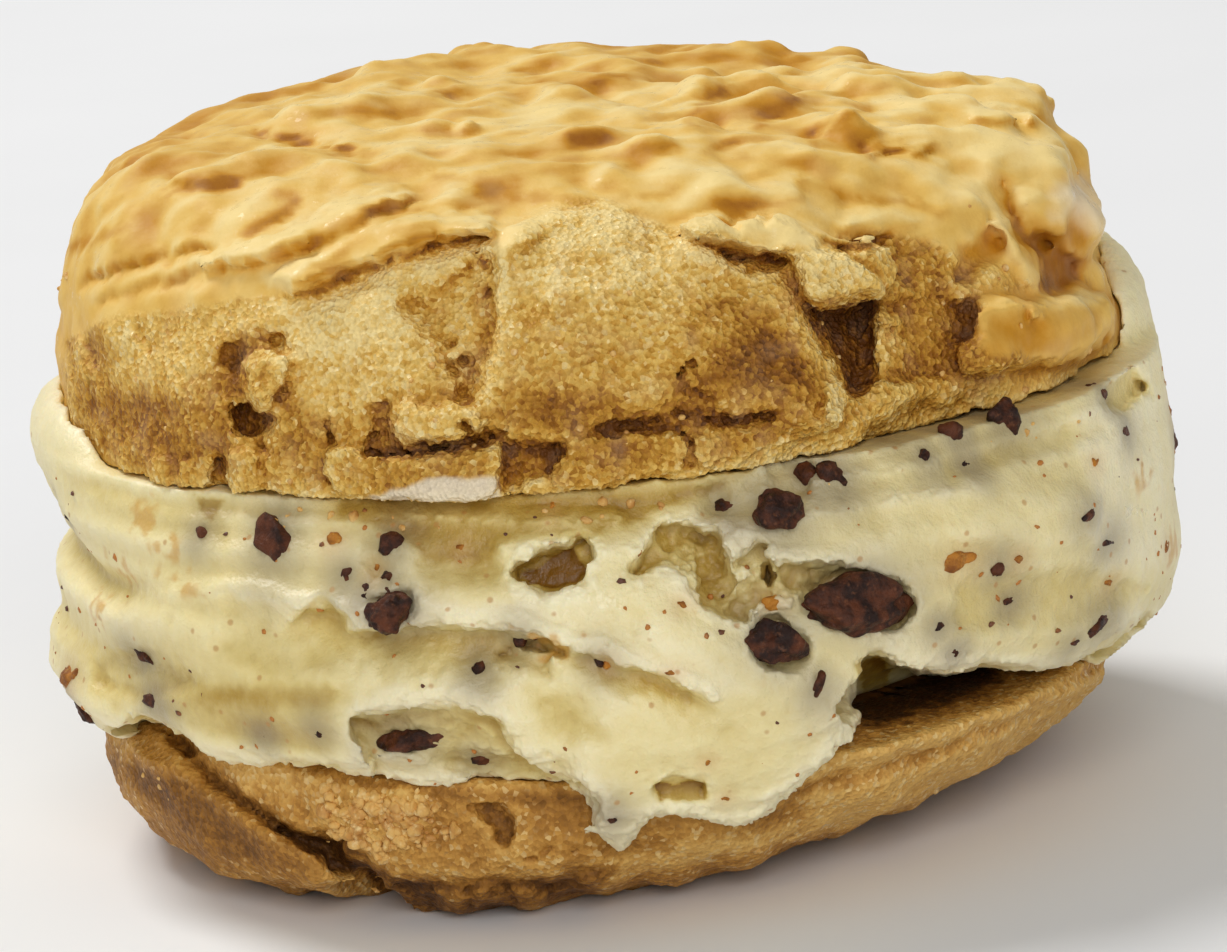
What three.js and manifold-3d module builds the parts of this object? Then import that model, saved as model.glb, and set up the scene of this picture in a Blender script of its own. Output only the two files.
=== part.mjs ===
// Ice cream sandwich: two fork-marked peanut butter cookies with a thick slab of
// chocolate chip ice cream that bulges out and hangs over the lower cookie.
// Millimetres, +Z up, the sandwich rests on z = 0 and its front faces -Y.

import * as THREE from 'three';
import { mergeVertices } from 'three/addons/utils/BufferGeometryUtils.js';
import Module from 'manifold-3d';

const wasm = await Module();
wasm.setup();

// ---------- driving dimensions ----------
const HEEL_RADIUS = 37.3; // lower cookie
const HEEL_TOP = 10.6; // flat baked face of the lower cookie
const FOOT_RADIUS = 9; // plain flat spot in the middle of the underside
const LID_RADIUS = 38.4; // upper cookie
const LID_BASE = 31.6; // flat baked face of the upper cookie
const LID_TOP = 52.9; // crown of the upper cookie
const FILL_RADIUS = 41.0; // ice cream
const FILL_TOP = 31.7;
const FILL_FOOT = 9.2;
const GAP = 0.3; // clearance between neighbouring pieces
const FORK_PITCH = 5.2; // spacing of the fork tine marks

// ---------- small maths ----------
const rad = (deg) => (deg * Math.PI) / 180;
const clamp = (v, a, b) => Math.min(b, Math.max(a, v));
const ease = (t) => t * t * (3 - 2 * t);
const step = (v, a, b) => ease(clamp((v - a) / (b - a), 0, 1));
const bell = (v, width) => Math.exp(-((v / width) ** 2));

// Angle round the sandwich in degrees: 0 faces the front, +90 is +X.
const azimuth = (x, y) => (Math.atan2(x, -y) * 180) / Math.PI;

// Signed shortest difference of two angles in degrees.
const turn = (a, b) => ((a - b + 540) % 360) - 180;

// Smooth interpolation through [position, value] pairs, held flat past the ends.
function follow(pairs, v) {
  if (v <= pairs[0][0]) return pairs[0][1];
  for (let i = 1; i < pairs.length; i += 1) {
    const [a, va] = pairs[i - 1];
    const [b, vb] = pairs[i];
    if (v <= b) return va + (vb - va) * ease((v - a) / (b - a));
  }
  return pairs[pairs.length - 1][1];
}

// Broad unevenness of hand-shaped food, about one unit high.
function uneven(x, y, z) {
  const a = Math.sin(0.41 * x + 1.3 * Math.sin(0.23 * y + 0.4) + 0.35 * z);
  const b = Math.sin(0.47 * y + 1.1 * Math.sin(0.29 * z + 1.7) - 0.21 * x);
  const c = Math.sin(0.83 * z + 0.61 * x + 0.9 * Math.sin(0.37 * y + 2.1));
  return (a + b + c) / 3;
}

// Smooth union and smooth cut of two distance fields.
function blend(a, b, k) {
  const h = Math.max(k - Math.abs(a - b), 0) / k;
  return Math.min(a, b) - (h * h * k) / 4;
}
const carve = (a, b, k) => -blend(-a, b, k);

// A lump placed by angle, radius and height, with half sizes along, out and up.
// lean turns it in the face it sits on, square above 2 makes it blocky.
function lump(at, half, lean = 0, square = 2) {
  const ca = Math.cos(rad(at[0]));
  const sa = Math.sin(rad(at[0]));
  const cl = Math.cos(rad(lean));
  const sl = Math.sin(rad(lean));
  const small = Math.min(...half);
  return (x, y, z) => {
    const u = x * ca + y * sa;
    const w = x * sa - y * ca - at[1];
    const h = z - at[2];
    const along = Math.abs((u * cl + h * sl) / half[0]) ** square;
    const out = Math.abs(w / half[1]) ** square;
    const up = Math.abs((h * cl - u * sl) / half[2]) ** square;
    return ((along + out + up) ** (1 / square) - 1) * small;
  };
}

// A rounded bar between two points given by angle, radius and height.
function bar(from, to, thick) {
  const a = new THREE.Vector3(from[1] * Math.sin(rad(from[0])), -from[1] * Math.cos(rad(from[0])), from[2]);
  const b = new THREE.Vector3(to[1] * Math.sin(rad(to[0])), -to[1] * Math.cos(rad(to[0])), to[2]);
  const line = new THREE.Line3(a, b);
  const p = new THREE.Vector3();
  const q = new THREE.Vector3();
  return (x, y, z) => {
    p.set(x, y, z);
    line.closestPointToPoint(p, true, q);
    return p.distanceTo(q) - thick;
  };
}

// ---------- upper cookie ----------
const LID_WAIST = [
  [-180, -0.8], [-130, -0.2], [-90, 0.1], [-60, 0.2], [-30, -0.2], [0, -0.7], [25, -0.8],
  [42, -1.6], [58, -0.1], [90, 0.9], [130, 0.6], [180, -0.8],
];
const LID_EDGE = [
  [-180, 13], [-120, 13], [-85, 13], [-50, 8], [-25, 6], [5, 6], [35, 7], [60, 9], [90, 14], [130, 14], [180, 13],
];
const LID_SHOULDER = [
  [-180, 2.2], [-120, 2.5], [-85, 2.5], [-50, 2], [-25, 1.7], [5, 1.8], [35, 1.6], [60, 1.8], [90, 2.4], [180, 2.2],
];

// Fork-pressed mounds and pits on the crown: x, y, half width, half depth, height.
const LID_MARKS = [
  [2, 3, 2.3, 3.2, 1.0], [6.5, -6, 2.2, 3, 0.9], [-5, -17, 2.4, 3.2, 0.9], [11.5, -14, 2.2, 3, 0.9],
  [-9, 23, 2.6, 3.4, 0.8], [-6, 15, 2.2, 3.2, 0.8], [-9, 4, 2.4, 3.4, 0.8], [16, -24, 2.6, 3, 0.8],
  [24, -4, 3.2, 4, 0.9], [22, 15, 2.4, 6, 0.9], [-1, -22, 2.4, 3, 0.7], [31, 4, 3, 5, 0.9],
  [-1, 30, 2.6, 3.4, -1.0], [4, 26, 2.4, 3, -0.8], [8, 4, 2.2, 3.4, -0.9], [12, 18, 2.2, 4.4, -0.9],
  [14, 0, 2, 3, -0.8], [19, 15, 2, 4, -0.9], [-9, 29, 2.4, 3, -0.7], [-16, 25, 2.6, 3, -0.8],
  [-9, 9, 2.2, 3, -0.7], [-10, -7, 2.4, 3.2, -0.9], [-27, 0, 3, 4, -1.4], [20, -9, 2.2, 4, -0.8],
];

// Long pressed ridges near the front left rim: x, y, direction, half length, half width, height.
const LID_RIDGES = [
  [-17, -19, 66, 11, 2, 1.2], [-12.5, -27, 55, 9, 2.2, 1.2], [-21.5, -12, 72, 8, 1.6, -1.2],
  [-33, -15, 68, 6, 2.4, 0.9], [-19, 11, -70, 10, 2, -1.0], [-22, 14, -66, 10, 2.4, 0.8],
];

function crownHeight(x, y) {
  let h = LID_TOP - 0.045 * (x + 6) - 0.0012 * (x * x + y * y) + 0.02 * y;
  for (const [mx, my, wx, wy, up] of LID_MARKS) {
    const k = ((x - mx) / wx) ** 2 + ((y - my) / wy) ** 2;
    if (k < 9) h += up * Math.exp(-k);
  }
  for (const [mx, my, dir, long, wide, up] of LID_RIDGES) {
    const c = Math.cos(rad(dir));
    const s = Math.sin(rad(dir));
    const u = (x - mx) * c + (y - my) * s;
    const v = (y - my) * c - (x - mx) * s;
    h += up * Math.exp(-((u / long) ** 4) - (v / wide) ** 2);
  }
  const pressed = Math.sin((2 * Math.PI * (x + 0.22 * y)) / FORK_PITCH);
  return h + 0.3 * pressed * step(y, -12, 4);
}

const LID_ADD = [
  [lump([6, 30.6, 41.2], [11, 6, 8.8], -13, 4), 1.2], // broken central block
  [lump([0, 28.6, 47.2], [6.5, 5, 3.2], 0, 3), 1.2],
  [bar([15, 30, 49.2], [35, 34, 43.6], 2.5), 1.0], // finger pointing right
  [bar([20, 26, 49.4], [27, 27, 48.2], 2.4), 1.0],
  [lump([43, 30.5, 39.5], [7.5, 5.2, 5], 0, 3), 1.5], // piece behind the gap
  [bar([50, 34.6, 38.3], [80, 36.2, 34.8], 3.1), 1.5], // lobe at the right
  [lump([72, 33, 44.5], [5, 4.4, 4]), 2], // smooth knob
  [lump([104, 34, 46.6], [5, 3, 2.6]), 1.2], // lump on the right rim
  [lump([-17, 35.8, 33.7], [5.8, 2.8, 1.9], -1, 4), 0.5], // front slabs
  [lump([-16, 34.6, 36.9], [4, 2.8, 2], 4, 3), 0.8],
  [lump([3.5, 35.6, 34], [4.4, 2.6, 2.1], 2, 4), 0.5],
  [lump([18.5, 35.2, 34.4], [5, 2.8, 1.9], 6, 4), 0.5],
  [lump([-25, 32, 41], [6.5, 4.6, 4.6], 0, 3), 1.5],
  [lump([-35, 36.6, 40.2], [2.4, 2, 2.3]), 0.6], // ball beside the cavities
  [lump([-45, 36.6, 34], [4.5, 2.2, 2.6], 0, 3), 1],
];
const LID_CUT = [
  [lump([-12.5, 37, 41.6], [3.2, 4, 4.4], 18), 0.8], // hollow left of the block
  [lump([29, 38, 39], [2.8, 7.5, 4.4], 0, 3), 0.6], // dark gap under the finger
  [lump([37, 40.5, 30.8], [10, 6.5, 4.4], 8), 1.2], // lifted underside
  [lump([62, 38, 42.2], [5, 3.4, 2], 20), 0.8], // hollow above the lobe
  [lump([73, 39, 41.2], [2.6, 3.2, 1.8]), 0.6],
  [lump([-39, 38.4, 41.8], [1.5, 1.8, 1.5]), 0.5],
  [lump([-38, 38.6, 37.2], [2.6, 2.2, 1.7], 20), 0.5],
  [bar([-2, 38.2, 36.3], [22, 38, 36.2], 0.8), 0.4], // crack above the slabs
  [bar([-66, 39, 41], [-69, 39.2, 33], 0.9), 1],
  [bar([-49, 39.2, 35], [-49, 39.2, 31], 0.7), 0.5],
  [bar([-30, 39, 37], [-31, 39, 31], 0.8), 0.5],
];

function lidField(x, y, z, grow = 0) {
  const az = azimuth(x, y);
  const radius = LID_RADIUS + follow(LID_WAIST, az) + 0.35 * uneven(x, y, z) + grow;
  const out = Math.hypot(x, y) / radius;
  const rise = Math.max(0, z - LID_BASE + 0.001) / (crownHeight(x, y) + grow - LID_BASE);
  const n = follow(LID_EDGE, az);
  const m = follow(LID_SHOULDER, az);
  const fill = out ** n + rise ** m;
  const slope = Math.hypot((n * out ** (n - 1)) / radius, (m * rise ** (m - 1)) / 18.4) + 1e-6;
  let d = clamp((fill - 1) / slope, -6, 9);
  for (const [shape, k] of LID_ADD) d = blend(d, shape(x, y, z) - grow, k);
  for (const [shape, k] of LID_CUT) d = carve(d, shape(x, y, z) + grow, k);
  return Math.max(d, LID_BASE - grow - z);
}

// ---------- lower cookie ----------
const HEEL_WAIST = [[-180, 0], [-90, 0.6], [-50, 0.2], [-20, -0.6], [25, -0.8], [60, -0.4], [90, 0.2], [180, 0]];
const HEEL_EDGE = [[-180, 8], [-90, 9], [-60, 7], [-40, 6.5], [-24, 9], [0, 6], [25, 3.7], [55, 3.1], [90, 4], [180, 8]];
const HEEL_SHOULDER = [[-180, 3], [-90, 3], [-25, 4], [0, 2.6], [25, 2], [55, 1.8], [90, 2], [180, 3]];
const HEEL_RIM = [[-180, 0.3], [-90, 0.9], [-50, 1.5], [-20, 0.9], [0, 0.1], [20, -0.1], [60, -0.1], [120, 0], [180, 0.3]];

const HEEL_CUT = [
  [lump([-34, 34.5, 0.2], [2, 9, 3.4], -25), 0.8], // notch between slab and dome
  [bar([-72, 38.2, 11], [-57, 37.8, 9.2], 0.9), 0.8], // crack round the left slab
  [bar([-57, 37.8, 9.2], [-42, 37.4, 6.4], 0.9), 0.8],
  [bar([-42, 37.4, 6.4], [-35, 36, 2.6], 1.1), 0.8],
  [bar([18, 37.6, 8.6], [56, 37.6, 8.4], 0.8), 0.9], // groove under the right lip
  [lump([-14, 37, 7.2], [1.5, 1.8, 2.2], 15), 0.6],
  [lump([-28, 37.8, 11.4], [4.2, 2.4, 1]), 0.6],
  [lump([140, 37.5, 3], [5, 4, 2.4], 15), 1],
  [lump([-140, 38.5, 6], [6, 2.4, 1.4], -12), 1],
];

function heelField(x, y, z, grow = 0) {
  const az = azimuth(x, y);
  const r = Math.hypot(x, y);
  const radius = HEEL_RADIUS + follow(HEEL_WAIST, az) + 0.4 * uneven(x + 40, y, z) + grow;
  const ridges = Math.sin((2 * Math.PI * (x + 0.15 * y)) / FORK_PITCH) * Math.sin((Math.PI * (y - 0.1 * x)) / 7);
  const depth = HEEL_TOP + 0.5 + 0.75 * ridges * step(r, FOOT_RADIUS + 1, FOOT_RADIUS + 5) + grow;
  const sink = Math.max(0, HEEL_TOP - z + 0.001) / depth;
  const n = follow(HEEL_EDGE, az);
  const m = follow(HEEL_SHOULDER, az);
  const out = r / radius;
  const fill = out ** n + sink ** m;
  const slope = Math.hypot((n * out ** (n - 1)) / radius, (m * sink ** (m - 1)) / 11) + 1e-6;
  let d = clamp((fill - 1) / slope, -5, 9);
  for (const [shape, k] of HEEL_CUT) d = carve(d, shape(x, y, z) + grow, k);
  const face = HEEL_TOP + follow(HEEL_RIM, az) * step(r, 33, 35.5) * (1 - step(r, 36.4, 38.4)) + grow;
  return Math.max(d, z - face, -z);
}

// ---------- ice cream ----------
const FILL_FRONT = [
  [9, 33], [10.9, 35], [12.5, 38], [15, 41], [18, 42.2], [22, 42.2], [25, 42], [28, 40.6], [31.3, 37.2],
];
const FILL_LEFT = [
  [9, 35.5], [10.2, 37.8], [12.4, 40.3], [14.6, 41.6], [17, 41], [19.1, 40], [22.1, 40.4], [24.1, 38.3], [26.5, 39.6],
  [28.4, 40.5], [31.3, 40.9],
];
const FILL_RIGHT = [
  [9, 36], [10, 38], [11.4, 40.4], [13.4, 42.2], [16.7, 43], [22.1, 43.1], [30.5, 42.6], [31.3, 42.5],
];
const FILL_BACK = [
  [9, 34], [11, 37], [14, 41], [18, 42], [22, 41.2], [26, 41.8], [29, 40.6], [31.3, 37.6],
];
const UPPER_LIP = [
  [-28, 24.8], [-24, 23.6], [-19, 24.1], [-13, 23.6], [-8, 23.1], [-3, 22.8], [1, 21.8], [6, 19.8], [11, 18],
];
const LOWER_LIP = [
  [-27, 17], [-22, 18.3], [-16, 18.6], [-11, 17.7], [-9.5, 15.8], [-7, 14.3], [-4, 13.2], [-1, 12],
];

function fillRadius(az, z) {
  const left = bell(turn(az, -88), 42);
  const right = bell(turn(az, 88), 46);
  const front = bell(az, 52);
  const back = bell(turn(az, 180), 52);
  const sum = left + right + front + back;
  let r = (left * follow(FILL_LEFT, z) + right * follow(FILL_RIGHT, z)) / sum;
  r += (front * follow(FILL_FRONT, z) + back * follow(FILL_BACK, z)) / sum;
  const over = z - follow(UPPER_LIP, az);
  const nearUpper = step(az, -31, -26) * (1 - step(az, 8, 13));
  const swell = 0.7 * step(over, -0.4, 0.4) * (1 - step(over, 2, 6));
  const dip = 1.5 * (1 - step(over, -0.4, 0.4)) * step(over, -4, -0.5);
  r += nearUpper * (swell - dip);
  const under = z - follow(LOWER_LIP, az);
  const nearLower = step(az, -30, -25) * (1 - step(az, -2.5, -0.5));
  r += nearLower * (0.8 * step(under, -0.4, 0.4) * (1 - step(under, 1.5, 4)) - 2.1 * (1 - step(under, -0.4, 0.4)));
  return r;
}

const FILL_ADD = [
  [lump([10, 38.3, 14], [9.6, 3.6, 5.4], -3, 3), 1.6], // tongue over the lower cookie
  [bar([-1.2, 38.2, 12], [-0.9, 38.6, 8.9], 1.7), 1.2], // drip
  [bar([-0.9, 38.6, 9], [-0.6, 38.7, 7.9], 0.8), 0.8],
  [lump([20, 41, 17.5], [2.6, 1.8, 2]), 1],
  [bar([13, 41.6, 27.2], [17, 41.4, 25.8], 0.8), 0.8], // spur inside the hollow
];
const FILL_CUT = [
  [lump([31, 43.5, 14.2], [6.2, 12, 3.2], -9), 1], // gap above the lower cookie
  [lump([-4.6, 42.6, 28.2], [3, 3.2, 1.5], 12), 0.5], // eye-shaped hole
  [lump([5.2, 43, 28.4], [3.6, 3.6, 2], 0), 0.6], // torn hollow
  [lump([11.5, 43.4, 26.6], [4.2, 4, 2.6], -14), 0.6],
  [lump([20, 44.4, 23.6], [6.6, 3, 2], -12), 0.8],
  [lump([-6, 43.6, 20.4], [2.6, 2, 1.7], -30), 1.2], // soft dents
  [lump([5, 42.6, 13.2], [2.3, 1.4, 0.7]), 0.5],
  [lump([8, 43.2, 20], [4.2, 1.4, 1], -28), 0.8],
  [lump([-43, 41.2, 31.4], [5, 2.4, 1.4]), 0.8],
  [lump([-60, 42.6, 27], [5, 1.8, 1.2], 18), 0.8],
  [lump([150, 43.4, 22], [9, 2.6, 1.6], 10), 1.2],
  [lump([-150, 43, 16], [7, 2.2, 1.6], -8), 1.2],
];

function fillField(x, y, z) {
  const az = azimuth(x, y);
  const r = Math.hypot(x, y);
  const wave = 0.3 * uneven(x, y + 30, z);
  let d = Math.max(r - fillRadius(az, z) - wave, FILL_FOOT - 0.2 - z);
  for (const [shape, k] of FILL_ADD) d = blend(d, shape(x, y, z), k);
  for (const [shape, k] of FILL_CUT) d = carve(d, shape(x, y, z), k);
  return Math.max(d, z - FILL_TOP);
}

// ---------- from fields to closed surfaces ----------

// A drum-shaped sphere mesh: the vertices of an icosahedron sphere are spread evenly
// over a drum (thinly over its hidden flat faces) and then moved onto the field.
function wrap(field, drum, detail, reach) {
  const { radius, low, high, dense } = drum;
  const runs = [
    [dense[2] * Math.PI * radius ** 2, (t) => [radius * Math.sqrt(t), high, 0, 1]],
    [dense[1] * 2 * Math.PI * radius * (high - low), (t) => [radius, high + (low - high) * t, 1, 0]],
    [dense[0] * Math.PI * radius ** 2, (t) => [radius * Math.sqrt(1 - t), low, 0, -1]],
  ];
  const total = runs.reduce((s, run) => s + run[0], 0);
  const geometry = new THREE.IcosahedronGeometry(1, detail);
  geometry.deleteAttribute('normal');
  geometry.deleteAttribute('uv');
  const merged = mergeVertices(geometry, 1e-5);
  const p = merged.attributes.position;
  for (let i = 0; i < p.count; i += 1) {
    const angle = Math.atan2(p.getY(i), p.getX(i));
    let left = ((1 - clamp(p.getZ(i), -1, 1)) / 2) * total;
    let k = 0;
    while (k < 2 && left > runs[k][0]) {
      left -= runs[k][0];
      k += 1;
    }
    const [r, z] = runs[k][1](clamp(left / runs[k][0], 0, 1));
    // Blend the direction of travel round the drum's edges so that it has no corners.
    const inset = radius - 7;
    const middle = (low + high) / 2;
    const half = (high - low) / 2;
    let nr = Math.max(0, r - inset) / 7;
    let nz = (z - middle) / half;
    nr = ease(clamp(nr, 0, 1));
    nz = Math.sign(nz) * Math.abs(nz) ** 3;
    const len = Math.hypot(nr, nz);
    nr /= len;
    nz /= len;
    const at = (t) => [(r + nr * t) * Math.cos(angle), (r + nr * t) * Math.sin(angle), z + nz * t];
    let inside = -reach;
    let outside = reach;
    if (field(...at(outside)) < 0) outside = reach * 1.6;
    for (let n = 0; n < 40; n += 1) {
      const mid = (inside + outside) / 2;
      if (field(...at(mid)) < 0) inside = mid;
      else outside = mid;
    }
    const [x, y, zz] = at((inside + outside) / 2);
    p.setXYZ(i, x, y, Math.abs(zz) < 1e-4 ? 0 : zz);
  }
  return merged;
}

function toSolid(geometry) {
  const clean = geometry.clone();
  clean.deleteAttribute('normal');
  clean.deleteAttribute('uv');
  const merged = mergeVertices(clean, 1e-5);
  const vertProperties = new Float32Array(merged.attributes.position.array);
  const triVerts = new Uint32Array(merged.index.array);
  return new wasm.Manifold(new wasm.Mesh({ numProp: 3, vertProperties, triVerts }));
}

function fromSolid(solid) {
  const mesh = solid.getMesh();
  const geometry = new THREE.BufferGeometry();
  geometry.setAttribute('position', new THREE.BufferAttribute(new Float32Array(mesh.vertProperties), 3));
  geometry.setIndex(new THREE.BufferAttribute(new Uint32Array(mesh.triVerts), 1));
  geometry.computeVertexNormals();
  return geometry;
}

// A faceted chocolate chunk: centre, half sizes, turn about Z, and a seed for its shape.
function chunkGeometry({ at, half, spin, seed }, grow, detail) {
  const geometry = new THREE.IcosahedronGeometry(1, detail);
  geometry.deleteAttribute('normal');
  geometry.deleteAttribute('uv');
  const merged = mergeVertices(geometry, 1e-5);
  const p = merged.attributes.position;
  const x0 = at[1] * Math.sin(rad(at[0]));
  const y0 = -at[1] * Math.cos(rad(at[0]));
  const ca = Math.cos(rad(at[0]));
  const sa = Math.sin(rad(at[0]));
  const cs = Math.cos(rad(spin));
  const ss = Math.sin(rad(spin));
  for (let i = 0; i < p.count; i += 1) {
    const [a, b, c] = [p.getX(i), p.getY(i), p.getZ(i)];
    const rough = 1 + 0.11 * Math.sin(5 * a + seed) + 0.1 * Math.sin(6 * b + 2 * seed) + 0.1 * Math.sin(5 * c - seed);
    const along = a * (half[0] * rough + grow);
    const out = -b * (half[1] * rough + grow);
    const up = c * (half[2] * rough + grow);
    const u = along * cs - up * ss;
    const h = along * ss + up * cs;
    p.setXYZ(i, x0 + u * ca + out * sa, y0 + u * sa - out * ca, at[2] + h);
  }
  return merged;
}

// Ice cream pressed up round the side of the upper cookie: an ellipsoid bent to the rim.
function collarGeometry({ at, half }) {
  const geometry = new THREE.IcosahedronGeometry(1, 3);
  geometry.deleteAttribute('normal');
  geometry.deleteAttribute('uv');
  const merged = mergeVertices(geometry, 1e-5);
  const p = merged.attributes.position;
  for (let i = 0; i < p.count; i += 1) {
    const angle = rad(at[0] + half[0] * p.getX(i));
    const wave = 1 + 0.12 * Math.sin(4 * p.getX(i) + at[0]);
    const r = at[1] - half[1] * p.getY(i) * wave;
    const z = at[2] + half[2] * p.getZ(i) * wave;
    p.setXYZ(i, r * Math.sin(angle), -r * Math.cos(angle), z);
  }
  return merged;
}

// ---------- chocolate and the collars ----------

// How far out the ice cream reaches at an angle and a height.
function reachOut(az, z) {
  let inside = 30;
  let outside = 48;
  for (let n = 0; n < 30; n += 1) {
    const mid = (inside + outside) / 2;
    if (fillField(mid * Math.sin(rad(az)), -mid * Math.cos(rad(az)), z) < 0) inside = mid;
    else outside = mid;
  }
  return (inside + outside) / 2;
}

// Chunks big enough to be pieces of their own: angle, depth of the centre, height.
const CHUNKS = [
  { name: 'chunk_large', at: [24.5, 0.4, 22.3], half: [4.4, 2.4, 2.0], spin: -6, seed: 1 },
  { name: 'chunk_upper', at: [17.6, 0.2, 29.2], half: [1.9, 1.6, 1.7], spin: 10, seed: 2.3 },
  { name: 'chunk_middle', at: [15.6, 0.2, 20.6], half: [1.9, 1.5, 1.6], spin: -20, seed: 3.1 },
  { name: 'chunk_left', at: [-20.5, 0.1, 24.9], half: [1.6, 1.3, 1.3], spin: 5, seed: 4.4 },
  { name: 'chunk_low', at: [-21.5, 0.1, 15.2], half: [2.3, 1.4, 1.2], spin: 0, seed: 5.2 },
].map((chunk) => {
  const [az, deep, z] = chunk.at;
  return { ...chunk, at: [az, reachOut(az, z) - deep, z] };
});

// Smaller chips, fused to the ice cream: angle, height, size.
const BITS = [
  [-21.7, 28.2, 1], [-34.5, 29, 1.4], [-12.8, 20.8, 0.8], [-9.3, 22.8, 0.8], [19.6, 18.6, 1], [22.6, 28.6, 1.2],
  [36, 24, 1.2], [41, 22.8, 0.9], [48, 28, 1.5], [58, 27, 1], [-0.9, 10, 0.8], [70, 20, 1.1], [120, 26, 1.3],
  [150, 18, 1.2], [172, 25, 1.4], [-160, 19, 1.2], [-130, 27, 1.3], [-105, 17, 1.2], [-64, 17.2, 1.2],
];
const COLLARS = [
  { at: [109, 39.6, 32.6], half: [27, 3, 5.4] },
  { at: [-86, 38.6, 31.6], half: [22, 2.6, 3.4] },
];

// ---------- the pieces ----------
const LID_DRUM = { radius: 36.5, low: LID_BASE, high: 49, dense: [0.2, 1, 1] };
const HEEL_DRUM = { radius: 36, low: 1, high: HEEL_TOP, dense: [0.7, 1.1, 0.25] };
const FILL_DRUM = { radius: FILL_RADIUS, low: FILL_FOOT, high: FILL_TOP, dense: [0.2, 1, 0.2] };

const lidGeometry = wrap((x, y, z) => lidField(x, y, z), LID_DRUM, 14, 4.5);
const heelGeometry = wrap((x, y, z) => heelField(x, y, z), HEEL_DRUM, 10, 4);
const fillGeometry = wrap((x, y, z) => fillField(x, y, z), FILL_DRUM, 12, 5);

const lidSpace = toSolid(wrap((x, y, z) => lidField(x, y, z, GAP), LID_DRUM, 14, 4.5));
const heelSpace = toSolid(wrap((x, y, z) => heelField(x, y, z, GAP), HEEL_DRUM, 10, 4));

let filling = toSolid(fillGeometry);
for (const collar of COLLARS) filling = filling.add(toSolid(collarGeometry(collar)));
filling = filling.subtract(lidSpace).subtract(heelSpace);
BITS.forEach(([az, z, size], i) => {
  const bit = { at: [az, reachOut(az, z) - 0.2 * size, z], half: [size, size * 0.7, size * 0.8], spin: 40 * i, seed: i };
  filling = filling.add(toSolid(chunkGeometry(bit, 0, 0)));
});
for (const chunk of CHUNKS) filling = filling.subtract(toSolid(chunkGeometry(chunk, GAP, 1)));
filling = filling.decompose().sort((a, b) => b.volume() - a.volume())[0];

const paint = (color, roughness) => new THREE.MeshStandardMaterial({ color, roughness, metalness: 0 });

function piece(name, geometry, material) {
  const mesh = new THREE.Mesh(geometry, material);
  mesh.name = name;
  geometry.computeVertexNormals();
  return mesh;
}

const sandwich = new THREE.Group();
sandwich.name = 'ice_cream_sandwich';
sandwich.add(piece('bottom_cookie', heelGeometry, paint('#b9854a', 0.85)));
sandwich.add(piece('ice_cream', fromSolid(filling), paint('#ece3bf', 0.4)));
sandwich.add(piece('top_cookie', lidGeometry, paint('#d3a661', 0.85)));
for (const chunk of CHUNKS) {
  sandwich.add(piece(chunk.name, chunkGeometry(chunk, 0, 1), paint('#3c2420', 0.5)));
}

export default sandwich;
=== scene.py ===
"""Ice cream sandwich: two baked cookies with a thick slab of chocolate chip ice cream between.

Every shape is worked out as a block of clay: a grid of distances in millimetres
to which lumps are added and from which pits are cut, then turned into a mesh.
Places are given by angle (0 is the front, 90 is +X), radius and height, or as
points across and down the front drawing, which is the sandwich as the camera sees it.
"""

import math
from collections import namedtuple

import bmesh
import bpy
import numpy as np
import openvdb
from mathutils import Matrix, Vector


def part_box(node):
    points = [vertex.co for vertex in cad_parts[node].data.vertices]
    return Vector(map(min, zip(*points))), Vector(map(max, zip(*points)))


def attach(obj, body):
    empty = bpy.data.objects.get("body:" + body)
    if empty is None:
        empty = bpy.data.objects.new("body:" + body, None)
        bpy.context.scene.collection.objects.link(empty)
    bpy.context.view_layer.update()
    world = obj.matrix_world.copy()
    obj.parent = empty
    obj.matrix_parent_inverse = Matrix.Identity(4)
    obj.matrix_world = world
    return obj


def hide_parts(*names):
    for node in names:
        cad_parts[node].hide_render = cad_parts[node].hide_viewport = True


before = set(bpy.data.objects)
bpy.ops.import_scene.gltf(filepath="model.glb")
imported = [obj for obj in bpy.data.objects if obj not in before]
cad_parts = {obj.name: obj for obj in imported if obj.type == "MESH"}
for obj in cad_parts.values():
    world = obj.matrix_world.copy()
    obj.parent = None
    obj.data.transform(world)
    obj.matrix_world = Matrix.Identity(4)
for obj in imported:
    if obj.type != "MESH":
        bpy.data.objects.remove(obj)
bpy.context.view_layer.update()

MM = 0.001
CELL = 0.36  # size of a cell of clay, in millimetres
BAND = 2.5  # the clay knows distances up to this far from its surface

# ---------- driving dimensions, in millimetres ----------
HEEL_RADIUS, HEEL_TOP, FOOT_RADIUS = 37.3, 10.6, 9.0  # the lower cookie and its flat foot
LID_RADIUS, LID_BASE, LID_TOP = 38.4, 31.6, 52.9  # the upper cookie
FILL_TOP = 31.7  # the ice cream, below its collars
FORK_PITCH = 5.2
TOUCH = 0.12  # visible clearance between the ice cream and its neighbours
HIDDEN = 33  # the flat faces within this radius lie against each other

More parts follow.
